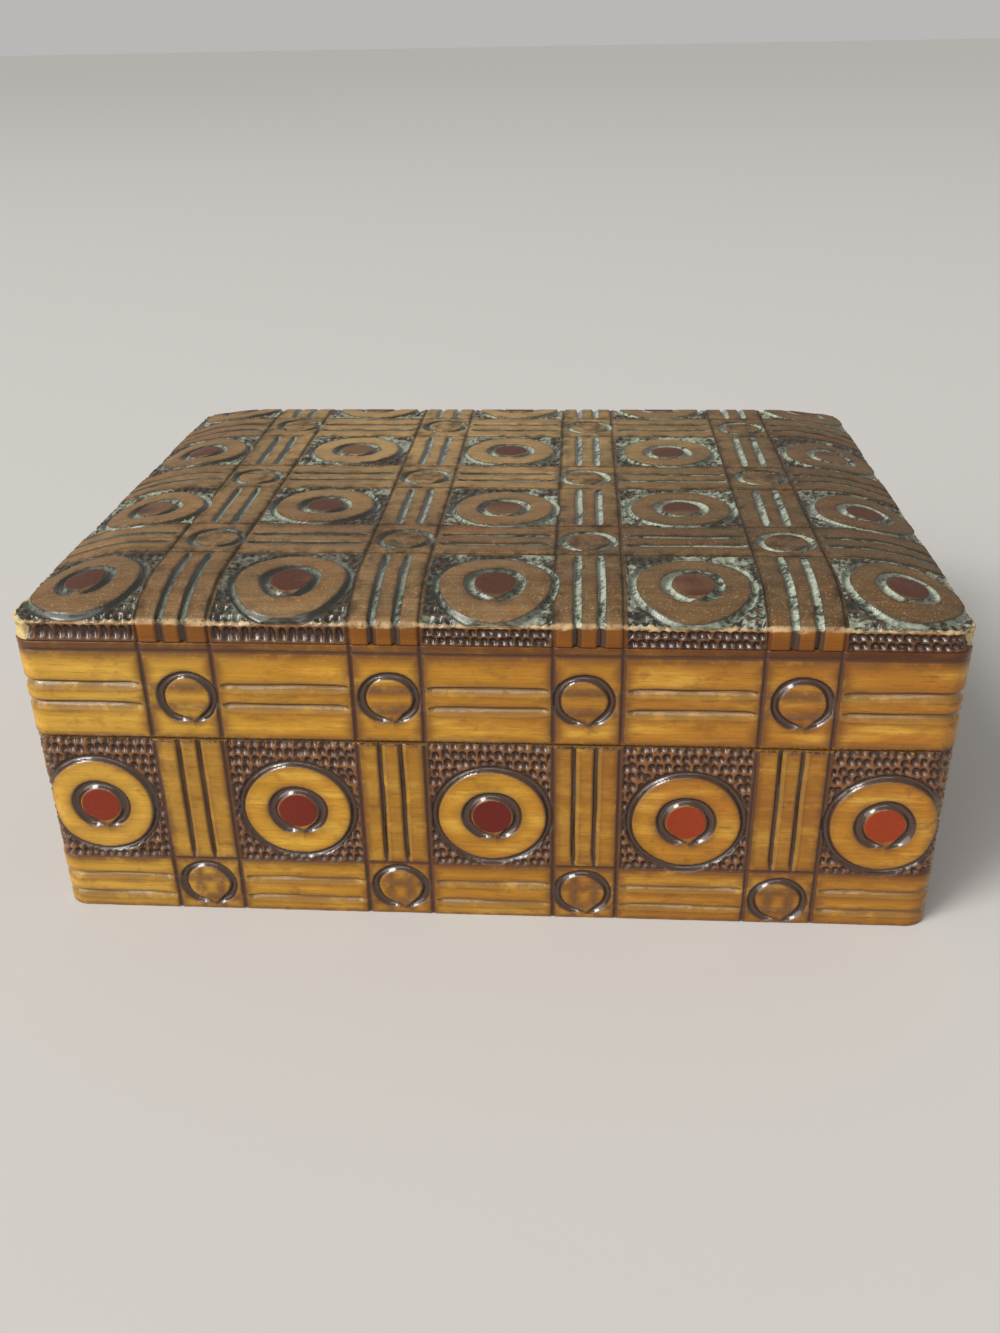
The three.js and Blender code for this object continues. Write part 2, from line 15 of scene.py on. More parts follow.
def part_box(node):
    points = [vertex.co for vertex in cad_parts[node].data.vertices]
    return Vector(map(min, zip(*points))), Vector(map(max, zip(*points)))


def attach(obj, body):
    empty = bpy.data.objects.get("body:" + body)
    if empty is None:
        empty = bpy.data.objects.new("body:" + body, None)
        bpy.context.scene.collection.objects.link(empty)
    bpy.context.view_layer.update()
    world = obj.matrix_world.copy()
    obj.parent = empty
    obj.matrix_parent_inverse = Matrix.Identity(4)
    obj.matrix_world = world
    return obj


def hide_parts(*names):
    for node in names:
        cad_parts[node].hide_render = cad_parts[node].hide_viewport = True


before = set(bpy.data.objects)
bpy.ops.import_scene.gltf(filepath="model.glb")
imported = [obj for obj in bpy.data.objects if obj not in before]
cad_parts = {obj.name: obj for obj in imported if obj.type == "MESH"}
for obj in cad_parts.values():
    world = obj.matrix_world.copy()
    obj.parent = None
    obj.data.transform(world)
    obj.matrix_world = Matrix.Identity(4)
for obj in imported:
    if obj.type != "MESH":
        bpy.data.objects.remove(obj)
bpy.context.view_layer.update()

bl_info = {
    "name": "Carved Trinket Box",
    "version": (1, 0, 0),
    "blender": (4, 5, 0),
    "location": "3D View > Sidebar > Trinket Box",
    "description": "Builds a carved and varnished wooden box with a hinged lid",
    "category": "Add Mesh",
}

MM = 0.001
SIDES = ("front", "back", "left", "right")
CROSS_SIDES = ("front", "back")


def level(node, corner, axis):
    """One coordinate of a CAD node's box, in millimetres."""
    return round(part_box(node)[corner][axis] / MM, 4)


# The box's main planes, read from the frame
HALF_WIDTH = level("base_right_wall", 1, 0)
HALF_DEPTH = -level("base_front_wall", 0, 1)
BASE_TOP = level("base_front_wall", 1, 2)
LID_BOTTOM = level("lid_front_rail", 0, 2)
RAIL_TOP = level("lid_front_rail", 1, 2)
LAP = HALF_DEPTH - level("base_left_wall", 1, 1)
FLOOR_HALF_WIDTH, FLOOR_HALF_DEPTH, FLOOR_TOP = (
    level("base_bottom_board", 1, axis) for axis in range(3))
CROWN_TOP = level("lid_top_board", 1, 2)

# Shapes that the frame's boxes don't give
CORNER = 4.0
WALL = 8.0
EDGE_TOP = 56.5
CROWN_SIDE_REACH = 17.0
CROWN_FRONT_REACH = 13.0
ARRIS = 0.8
OPEN_ANGLE = 100.0
BEVEL_SPARE = 1.0
HINGE_LENGTH = 20.0
HINGE_GAP = 0.3
HINGE_CENTRES = tuple(level(f"{side}_hinge_pin", 0, 0) + HINGE_LENGTH / 2
                      for side in ("left", "right"))
LEAF_THICKNESS = 0.7
LEAF_REACH = 5.2
BARREL_RADIUS = 1.6
PIN_RADIUS = 0.8
PIN_CLEARANCE = 0.15
KNUCKLES = 3
SCREW_SETBACK = 3.5
SCREW_OFFSET = 6.5
SCREW_LENGTH = 7.0
SCREW_HEAD = 1.15
SCREW_SHANK = 0.6
SCREW_ROOT = 0.42
SCREW_TIP = 1.2
HINGE_Y = HALF_DEPTH - BARREL_RADIUS
HINGE_Z = (BASE_TOP + LID_BOTTOM) / 2

# Carving of the front, measured along the face from its middle
FRONT_COLUMNS = ((-54.65, -43.05), (-20.75, -9.62), (11.31, 22.16), (44.04, 55.63))
FRONT_RINGS = ((-65.84, 21.51), (-31.82, 21.17), (1.06, 20.82), (33.35, 20.47), (65.80, 20.55))
LID_CIRCLES = ((-47.95, 42.71), (-15.02, 43.13), (16.08, 43.15), (50.26, 43.24))
FOOT_CIRCLES = ((-49.16, 5.48), (-15.11, 5.69), (16.35, 5.40), (49.70, 4.75))
FOOT_LINE = 10.8
LID_LINE = 51.13
FOOT_GOUGES = (6.6, 2.6)
LID_GOUGES = (44.66, 41.0)

# Carving of the top, measured from the front edge
TOP_BANDS = ((20.06, 33.31), (53.4, 66.7), (87.5, 101.0))
TOP_BAND_GOUGES = ((24.5, 28.5), (58.0, 62.0), (92.0, 96.2))
TOP_RINGS = (
    (-65.51, 9.85), (-31.36, 9.45), (1.70, 9.1), (33.05, 9.2), (66.60, 10.2),
    (-64.07, 42.09), (-32.24, 43.60), (1.22, 42.51), (33.48, 42.88), (66.60, 43.02),
    (-64.84, 77.37), (-32.01, 77.60), (0.58, 77.13), (33.15, 76.61), (66.45, 75.93),
    (-65.00, 111.4), (-32.10, 111.0), (0.70, 110.8), (33.20, 110.9), (66.40, 110.6),
)
TOP_CIRCLES = (
    (-48.10, 26.52), (-14.97, 26.65), (16.58, 26.15), (50.03, 26.44),
    (-48.92, 59.61), (-15.25, 60.09), (15.99, 60.04), (50.28, 60.53),
    (-47.93, 95.64), (-14.92, 95.01), (16.94, 94.60), (50.29, 93.92),
)

# Widths of the gouges, and half the distance between the two on a column
FOOT_GOUGE = 1.5
LID_GOUGE = 1.75
BAND_GOUGE = 1.4
WALL_FLUTE, WALL_FLUTE_SPREAD = 1.35, 1.77
TOP_FLUTE, TOP_FLUTE_SPREAD = 1.45, 1.83

# Lines that are finer than the columns' borders
WALL_LINE = {"width": 0.6, "depth": 0.35}
BAND_LINE = {"width": 0.55, "depth": 0.3}

# How much lower than wide the eyes and circles are, and taller than wide the punch marks
EYE_SQUASH = 0.97
CIRCLE_SQUASH = 0.94
PUNCH_TALL = 1.22

# How far cells run past a face's end, and the height of the strip over the edge's marks
CELL_OVERRUN = 9.0
EDGE_STRIP = 0.85

# Chips at the lid's front corners: place along the front, and size
CHIPS = ((-75.2, 3.9), (75.3, 1.9))
CHIP_HEIGHT = 54.7
CHIP_BACK = -50.0

# Material slots of a board
CARVED, BARE, STAINED = range(3)


def length(name, description, millimetres):
    return bpy.props.FloatProperty(
        name=name, description=description, default=millimetres * MM, unit="LENGTH")


def colour(name, description, default):
    return bpy.props.FloatVectorProperty(
        name=name, description=description, default=default, subtype="COLOR", size=3,
        min=0, max=1)


def amount(name, description, default, **kind):
    return bpy.props.FloatProperty(name=name, description=description, default=default, **kind)


class CarvingSizes(bpy.types.PropertyGroup):
    """Sizes of the cuts in the boards."""

    ring: length("Ring", "Outer diameter of the groove round a turned ring", 20.7)
    ring_height: length("Ring height", "The same diameter measured across the board", 20.1)
    eye: length("Eye", "Outer diameter of the groove round a painted dot", 10.2)
    dot: length("Dot", "Diameter of a painted dot", 6.6)
    circle: length("Circle", "Outer diameter of the small circle where lines cross", 10.3)
    ring_groove: length("Ring groove", "Width of the groove round a ring", 1.45)
    eye_groove: length("Eye groove", "Width of the groove round a dot", 1.75)
    circle_groove: length("Circle groove", "Width of the groove of a small circle", 1.5)
    ring_depth: length("Groove depth", "Depth of the round grooves", 0.8)
    gouge_depth: length("Gouge depth", "Depth of the straight gouges", 0.8)
    score_width: length("Scored line", "Width of the scored border lines", 0.8)
    score_depth: length("Score depth", "Depth of the scored border lines", 0.45)
    punch_pitch: length("Punch pitch", "Distance between the punch marks", 1.45)
    punch_depth: length("Punch depth", "Depth of a punch mark below its ground", 0.75)
    ground_depth: length("Ground depth", "How far the punched ground lies below the face", 0.12)
    edge_wear: length("Worn edge", "Rounding of the boards' edges", 0.35)
    mesh_pitch: length("Mesh pitch", "Spacing of the points that hold the carving", 0.27)


class FinishColours(bpy.types.PropertyGroup):
    """Colours of the woods, stains, paint and metal."""

    amber: colour("Amber", "Varnished wood of the walls", (0.49, 0.240, 0.015))
    pale: colour("Pale", "Lighter places of the varnish", (0.62, 0.37, 0.055))
    orange: colour("Orange", "Warmer patches of the varnish", (0.36, 0.125, 0.012))
    umber: colour("Umber", "Stain that has crept out of the cuts", (0.120, 0.042, 0.009))
    brown: colour("Brown", "Worn stain of the lid's top", (0.200, 0.118, 0.056))
    russet: colour("Russet", "Warmer places of the lid's top", (0.250, 0.108, 0.036))
    tan: colour("Tan", "Paler places of the lid's top", (0.43, 0.275, 0.115))
    stain: colour("Stain", "Dark stain in the round grooves", (0.048, 0.018, 0.006))
    ridge: colour("Ridge", "Wood left between the punch marks", (0.210, 0.080, 0.018))
    grime: colour("Grime", "Dark wax in the lid's grooves", (0.014, 0.015, 0.009))
    residue: colour("Residue", "Pale wax left in the lid's grooves", (0.50, 0.56, 0.44))
    score: colour("Score", "Red brown of the scored lines", (0.078, 0.021, 0.004))
    red: colour("Red", "Paint of the dots", (0.115, 0.006, 0.002))
    vermilion: colour("Vermilion", "Paint of the dots near the ends", (0.30, 0.034, 0.002))
    dull_red: colour("Dull red", "Worn paint of the dots on the lid", (0.068, 0.018, 0.015))
    bare: colour("Bare", "Unfinished wood", (0.58, 0.40, 0.21))
    chip: colour("Chip", "Fresh wood where a corner has chipped", (0.66, 0.52, 0.24))
    brass: colour("Brass", "Metal of the hinges", (0.60, 0.42, 0.16))


class StageSettings(bpy.types.PropertyGroup):
    """Floor and light of the studio."""

    floor: colour("Floor", "Colour of the floor", (0.66, 0.65, 0.64))
    key: amount("Key light", "Strength of the window-like light", 1.65)
    key_width: amount("Key width", "How wide the window looks from the box", math.radians(22),
                      subtype="ANGLE")
    front_power: amount("Front softbox", "Power of the wide lamp before the box", 2.9,
                        subtype="POWER")
    side_power: amount("Side softbox", "Power of the lamp at the left", 4.3, subtype="POWER")
    backdrop: amount("Backdrop", "Brightness of the backdrop behind the floor", 0.74)
    ambient: amount("Ambient", "Strength of the even light from all round", 0.32)


def size(name):
    """One of the carving's sizes, in millimetres."""
    return getattr(bpy.context.scene.trinket_carving, name) / MM


# Materials


def arithmetic(operation, swapped=False):
    """An operator between a socket and another socket or a number."""

    def method(value, other):
        terms = (other, value) if swapped else (value, other)
        return value.nodes.maths(operation, *terms)

    return method


class Value:
    """A shader socket that takes part in Python expressions."""

    def __init__(self, nodes, socket):
        self.nodes = nodes
        self.socket = socket

    __add__ = arithmetic("ADD")
    __radd__ = arithmetic("ADD", swapped=True)
    __sub__ = arithmetic("SUBTRACT")
    __rsub__ = arithmetic("SUBTRACT", swapped=True)
    __mul__ = arithmetic("MULTIPLY")
    __rmul__ = arithmetic("MULTIPLY", swapped=True)


def opaque(value):
    return value if isinstance(value, Value) else (*value, 1.0)


class Nodes:
    """The nodes of a material or of the world."""

    def __init__(self, owner):
        owner.use_nodes = True
        self.tree = owner.node_tree
        self.tree.nodes.clear()

    def node(self, kind, settings=None, inputs=None, output=0):
        made = self.tree.nodes.new(kind)
        for key, value in (settings or {}).items():
            setattr(made, key, value)
        for key, value in (inputs or {}).items():
            if isinstance(value, Value):
                self.tree.links.new(value.socket, made.inputs[key])
            else:
                made.inputs[key].default_value = value
        return Value(self, made.outputs[output]) if made.outputs else None

    def maths(self, operation, first, second):
        return self.node("ShaderNodeMath", {"operation": operation}, {0: first, 1: second})

    def highest(self, *values):
        return reduce(lambda first, second: self.maths("MAXIMUM", first, second), values)


class Finish(Nodes):
    """One material, whose tone is laid on colour over colour."""

    def __init__(self, name, tone, grain=None):
        self.material = bpy.data.materials.new(name)
        super().__init__(self.material)
        self.tone = tone
        self.grain = grain

    def lay(self, over, factor):
        """Lays a colour over the tone."""
        self.tone = self.mixed(self.tone, over, factor)

    def shade(self, factor):
        """Makes the tone darker or lighter."""
        self.tone = self.shaded(self.tone, factor)

    def mask(self, name):
        """A mask that the carving wrote on the mesh's points."""
        return self.node("ShaderNodeAttribute", {"attribute_name": name}, output="Fac")

    def edged(self, name, softness=0.12):
        """An area whose mask is a half at its edge."""
        return self.between(self.mask(name), 0.5 - softness, 0.5 + softness)

    def place(self, stretch):
        """The point's place in millimetres, squeezed along each axis."""
        point = self.node("ShaderNodeTexCoord", output="Object")
        scale = [1 / (MM * s) for s in stretch]
        return self.node("ShaderNodeVectorMath", {"operation": "MULTIPLY"}, {0: point, 1: scale})

    def part(self, vector, axis):
        return self.node("ShaderNodeSeparateXYZ", {}, {0: vector}, output=axis)

    def coordinate(self, axis):
        """The point's place along one axis, in millimetres."""
        return self.part(self.place((1.0, 1.0, 1.0)), axis)

    def sideways(self):
        """How far the surface faces to the left, from 1 through 0 to -1 on the right."""
        return 0.0 - self.part(self.node("ShaderNodeNewGeometry", output="Normal"), "X")

    def noise(self, stretch, detail=2.0, roughness=0.5):
        """Noise from about 0 to 1 whose features are about as long as stretch, in millimetres."""
        if not isinstance(stretch, tuple):
            stretch = (stretch,) * 3
        inputs = {"Vector": self.place(stretch), "Scale": 1.0, "Detail": detail,
                  "Roughness": roughness}
        return self.node("ShaderNodeTexNoise", {}, inputs)

    def grained(self, across, along, detail=2.0, roughness=0.5):
        """Noise that is drawn out along the grain."""
        longest = max(self.grain)
        stretch = tuple(s * (along if s == longest else across) for s in self.grain)
        return self.noise(stretch, detail, roughness)

    def between(self, value, low, high):
        """0 below low and 1 above high, with a smooth step between them."""
        inputs = {"Value": value, "From Min": low, "From Max": high}
        return self.node("ShaderNodeMapRange", {"interpolation_type": "SMOOTHSTEP"}, inputs)

    def mixed(self, under, over, factor):
        """One colour laid over another."""
        inputs = {0: factor, 6: opaque(under), 7: opaque(over)}
        return self.node("ShaderNodeMix", {"data_type": "RGBA"}, inputs, output=2)

    def shaded(self, under, factor):
        """A colour made darker or lighter by a factor."""
        grey = self.node("ShaderNodeCombineColor", {}, {0: factor, 1: factor, 2: factor})
        settings = {"data_type": "RGBA", "blend_type": "MULTIPLY"}
        return self.node("ShaderNodeMix", settings, {0: 1.0, 6: opaque(under), 7: grey}, output=2)

    def bumped(self, height, distance):
        """A normal for relief that is distance millimetres high."""
        inputs = {"Strength": 1.0, "Distance": distance * MM, "Height": height}
        return self.node("ShaderNodeBump", {}, inputs)

    def finished(self, roughness, inputs):
        every = {"Base Color": opaque(self.tone), "Roughness": roughness, **inputs}
        surface = self.node("ShaderNodeBsdfPrincipled", {}, every)
        self.node("ShaderNodeOutputMaterial", {}, {"Surface": surface})
        return self.material


# The grain runs along the board: stretch of the noise for each direction of the board's face
ALONG_X = (60.0, 1.0, 1.0)
ALONG_Y = (1.0, 60.0, 1.0)


def varnished_wood(name, grain, colours):
    """Amber varnish over wood, darker in the cuts."""
    wood = Finish(name, colours.amber, grain)
    patches = wood.between(wood.grained(9.0, 0.5, 3.0), 0.42, 0.68)
    clouds = wood.grained(3.0, 0.3, 5.0, 0.62)
    streaks = wood.grained(0.45, 0.5, 3.0, 0.6)
    pores = wood.between(wood.grained(0.16, 0.06), 0.58, 0.72)
    mottle = wood.noise(4.0, 6.0, 0.7)
    speckle = wood.noise(0.6, 3.0, 0.65)
    x = wood.coordinate("X")
    # Darker and more orange towards the right end, paler towards the left end: painted shade and
    # painted light falling off from the light at the left. The patches are the wood's own.
    wood.lay(colours.orange, patches * 0.3 + 0.55 * wood.between(x, -20, 40))
    wood.lay(colours.pale, 0.50 * wood.between(x, -30, -60))
    wood.lay(colours.pale, wood.between(clouds, 0.48, 0.72) * 0.7)
    wood.shade(0.24 + 0.50 * clouds + 0.50 * streaks + 0.56 * mottle - 0.30 * pores)
    wood.lay(colours.umber, wood.between(mottle, 0.54, 0.72) * 0.50)
    smudges = wood.between(wood.noise((6.5, 6.5, 3.2), 5.0, 0.68), 0.54, 0.70)
    wood.lay(colours.umber, smudges * 0.38)
    wood.lay(colours.umber, wood.mask("halo") * wood.between(mottle, 0.24, 0.52) * 0.90)
    cloudy = wood.between(clouds, 0.40, 0.60)
    strip = wood.mask("strip") * (0.30 + 0.45 * cloudy + 0.3 * wood.between(x, 20.0, 74.0))
    wood.lay(colours.score, strip)
    # Paler in the gouges: a painted highlight of their lit slopes.
    wood.lay(colours.pale, wood.edged("gouge") * 0.20)
    wood.lay(colours.score, wood.edged("score") * 0.85)
    # The shade mask: painted shade on the steep walls of gouges and scored lines, with the stain
    # that gathers there; it also holds the dark line along the joint of lid and base.
    wood.lay(colours.stain, wood.edged("shade") * (0.6 + 0.6 * clouds))
    ridges = wood.mask("ridge") * wood.between(speckle, 0.25, 0.55)
    ground = wood.mixed(wood.mixed(colours.stain, colours.score, 0.35), colours.ridge, ridges)
    punched, groove = wood.edged("punched"), wood.edged("groove")
    wood.lay(ground, punched)
    wood.lay(colours.stain, groove * 0.97)
    bright = wood.highest(wood.between(x, 0, 40), 0.5 * wood.between(x, -10, -60))
    paint = wood.mixed(colours.red, colours.vermilion, bright * 0.9)
    wood.lay(wood.shaded(paint, 0.8 + 0.4 * speckle), wood.edged("paint", 0.1))
    wood.lay(colours.bare, wood.mask("worn") * wood.between(speckle, 0.42, 0.58) * 0.7)
    cuts = wood.highest(groove, punched, wood.edged("lip", 0.3) * 0.8, wood.edged("score") * 0.35)
    return wood.finished(0.34 + 0.16 * clouds - 0.12 * cuts, {
        "Coat Weight": 0.05 + 0.95 * cuts - 0.50 * punched, "Coat Roughness": 0.12,
        "Coat IOR": 1.56, "Specular IOR Level": 0.35,
        "Normal": wood.bumped(0.5 * streaks + 0.4 * speckle - 0.3 * pores, 0.07),
    })


def worn_top_wood(name, grain, colours):
    """The lid's top: brown and worn above, amber on its edges, with wax left in the cuts. The wax
    is kept on the walls that face the light at the left, a painted highlight, and taken off the
    walls that face right, painted shade.
    """
    wood = Finish(name, colours.brown, grain)
    patches = wood.between(wood.grained(16.0, 0.6, 3.0), 0.40, 0.68)
    clouds = wood.grained(3.0, 0.25, 5.0, 0.62)
    streaks = wood.grained(0.45, 0.4, 3.0, 0.6)
    specks = wood.noise(0.7, 3.0, 0.6)
    wide = wood.noise(7.0, 3.0)
    lumps = wood.noise((2.2, 0.9, 0.9), 3.0, 0.7)
    above = wood.edged("above", 0.3)
    x = wood.coordinate("X")
    wood.lay(colours.russet, wood.between(wide, 0.46, 0.66) * 0.6)
    # The tan mask makes the back middle paler: a painted sheen of glancing light. The patches are
    # the wood's own.
    wood.lay(colours.tan, patches * 0.25 + wood.mask("tan") * 0.85)
    shadowed = 0.96 - 0.32 * wood.between(x, 0.0, 32.0)
    wood.shade((0.02 + 1.10 * clouds + 0.85 * streaks) * shadowed)
    wood.lay(colours.bare, wood.between(wood.noise(0.32, 2.0), 0.60, 0.70) * 0.5)
    dirt = wood.between(wood.noise(3.5, 5.0, 0.7), 0.40, 0.62)
    wood.lay(colours.grime, dirt * (0.10 + 0.65 * wood.mask("halo")))
    amber = wood.mixed(colours.orange, colours.umber, 0.15 + 0.5 * patches)
    amber = wood.shaded(amber, 0.35 + 0.6 * clouds + 0.5 * streaks)
    wood.tone = wood.mixed(amber, wood.tone, above)
    lines = wood.mixed(colours.score, colours.grime, above * 0.75)
    wood.lay(lines, wood.edged("score") * (0.62 - 0.22 * above))
    # Painted shade on the steep walls of the cuts, with the dark wax that gathers there, and the
    # dark ring round the right chip.
    wood.lay(colours.grime, wood.edged("shade") * 0.6)
    groove, punched = wood.edged("groove"), wood.edged("punched")
    dark = wood.mixed(colours.stain, colours.grime, above)
    wood.lay(dark, groove * 0.95)
    ground = wood.mixed(dark, colours.ridge, wood.mask("ridge") * (0.45 - 0.2 * above))
    wood.lay(ground, punched)
    faded = wood.mixed(colours.dull_red, colours.brown,
                       0.15 + 0.5 * wood.between(patches, 0.2, 0.9))
    wood.lay(wood.shaded(faded, 0.6 + 0.8 * specks), wood.edged("paint", 0.1))
    rightward = wood.between(x, -30.0, 25.0)
    # The wax is kept on the groove walls that face left, towards the light, and taken off those
    # that face right: a painted highlight and painted shade laid through the real wax in the cuts.
    toward_light = wood.sideways()
    inner = wood.between(wood.mask("groove"), 0.52, 0.72)
    kept = wood.between(0.55 * lumps + 0.45 * wide, 0.40, 0.54)
    wax = inner * kept * (0.35 + 0.35 * rightward + 0.5 * wood.between(toward_light, 0.12, 0.55))
    wax = wax * (1 - (0.9 - 0.6 * rightward) * wood.between(toward_light, 0.02, -0.35))
    caked = punched * wood.between(0.5 * lumps + 0.5 * wide, 0.48, 0.57)
    thick = wood.highest(rightward, wood.between(wood.coordinate("Y"), -38.0, -22.0))
    wax = wood.highest(wax, caked * 0.8) * above * (0.45 + 0.55 * thick)
    wood.lay(wood.shaded(colours.residue, 0.04 + 1.45 * specks), wax * 0.9)
    worn = wood.mask("worn") * wood.between(specks, 0.30, 0.48)
    wood.lay(wood.shaded(colours.bare, 0.7 + 0.6 * specks), worn * 0.9)
    chip = wood.between(wood.mask("chip"), 0.35, 0.65)
    wood.lay(wood.shaded(colours.chip, 0.7 + 0.35 * streaks), chip)
    cuts = wood.highest(groove, punched)
    return wood.finished(0.38 + 0.2 * clouds + 0.1 * above - 0.12 * cuts, {
        "Coat Weight": 0.7 * cuts * (1 - 0.8 * wax), "Coat Roughness": 0.14, "Coat IOR": 1.56,
        "Specular IOR Level": 0.22,
        "Normal": wood.bumped(0.6 * streaks + 0.5 * specks + 0.9 * wax * lumps, 0.12),
    })


def bare_wood(name, grain, colours):
    """Sanded wood without finish, with darker growth lines."""
    wood = Finish(name, colours.bare, grain)
    lines = wood.grained(1.4, 0.8, 3.0, 0.55)
    fibres = wood.grained(0.22, 0.1)
    wood.lay(colours.tan, wood.between(lines, 0.45, 0.75) * 0.5)
    wood.shade(0.72 + 0.28 * wood.noise(14.0, 3.0) + 0.28 * fibres)
    relief = wood.bumped(0.6 * fibres + 0.4 * lines, 0.08)
    return wood.finished(0.62 + 0.2 * fibres, {"Normal": relief})


def stained_edge(name, grain, colours):
    """The edges on which lid and base meet, with thin and uneven varnish."""
    wood = Finish(name, colours.amber, grain)
    lines = wood.grained(1.2, 0.8, 3.0, 0.55)
    fibres = wood.grained(0.22, 0.1)
    clouds = wood.noise(9.0, 4.0, 0.65)
    wood.lay(colours.orange, wood.between(lines, 0.45, 0.70) * 0.6)
    wood.lay(colours.umber, wood.between(clouds, 0.42, 0.70) * 0.3)
    wood.shade(0.45 + 0.5 * clouds + 0.4 * fibres)
    relief = wood.bumped(0.6 * fibres + 0.4 * lines, 0.06)
    return wood.finished(0.45 + 0.2 * fibres, {"Normal": relief})


def hinge_brass(name, colours):
    """Brass with a light tarnish and fine scratches."""
    metal = Finish(name, colours.brass)
    tarnish = metal.between(metal.noise(1.6, 4.0, 0.6), 0.42, 0.70)
    brushed = metal.noise((3.0, 0.06, 0.06), 2.0)
    metal.lay(colours.score, tarnish * 0.35)
    metal.shade(0.85 + 0.3 * brushed)
    relief = metal.bumped(brushed, 0.01)
    return metal.finished(0.26 + 0.22 * tarnish + 0.12 * brushed,
                          {"Metallic": 1.0, "Normal": relief})


def material_for(name, make, *arguments):
    """The named material, made on its first use."""
    found = bpy.data.materials.get(name)
    return found if found else make(name, *arguments, bpy.context.scene.trinket_colours)


def board_woods(side):
    """Materials of a board: its varnished face, its bare wood and its stained edges."""
    grain = ALONG_X if side in CROSS_SIDES else ALONG_Y
    makers = {"amber_varnish": varnished_wood, "bare_wood": bare_wood,
              "stained_edge": stained_edge}
    return [material_for(f"{name}_{side}", make, grain) for name, make in makers.items()]


# Carving


def hashed(i, j, seed):
    """A repeatable number from 0 to 1 for each pair of whole numbers."""
    value = np.sin(i * 127.1 + j * 311.7 + seed * 74.7) * 43758.5453
    return value - np.floor(value)


def smooth(value, low, high):
    """0 below low and 1 above high, with a smooth step between them."""
    t = np.clip((value - low) / (high - low), 0, 1)
    return t * t * (3 - 2 * t)


def drift(u, v, reach, seed):
    """Gentle noise from -1 to 1 over a face."""
    x, y = u / reach, v / reach
    i, j = np.floor(x), np.floor(y)
    a, b = smooth(x - i, 0, 1), smooth(y - j, 0, 1)
    low = hashed(i, j, seed) * (1 - a) + hashed(i + 1, j, seed) * a
    high = hashed(i, j + 1, seed) * (1 - a) + hashed(i + 1, j + 1, seed) * a
    return 2 * (low * (1 - b) + high * b) - 1


def ring_squash():
    """How much lower than wide the turned rings are."""
    return size("ring_height") / size("ring")


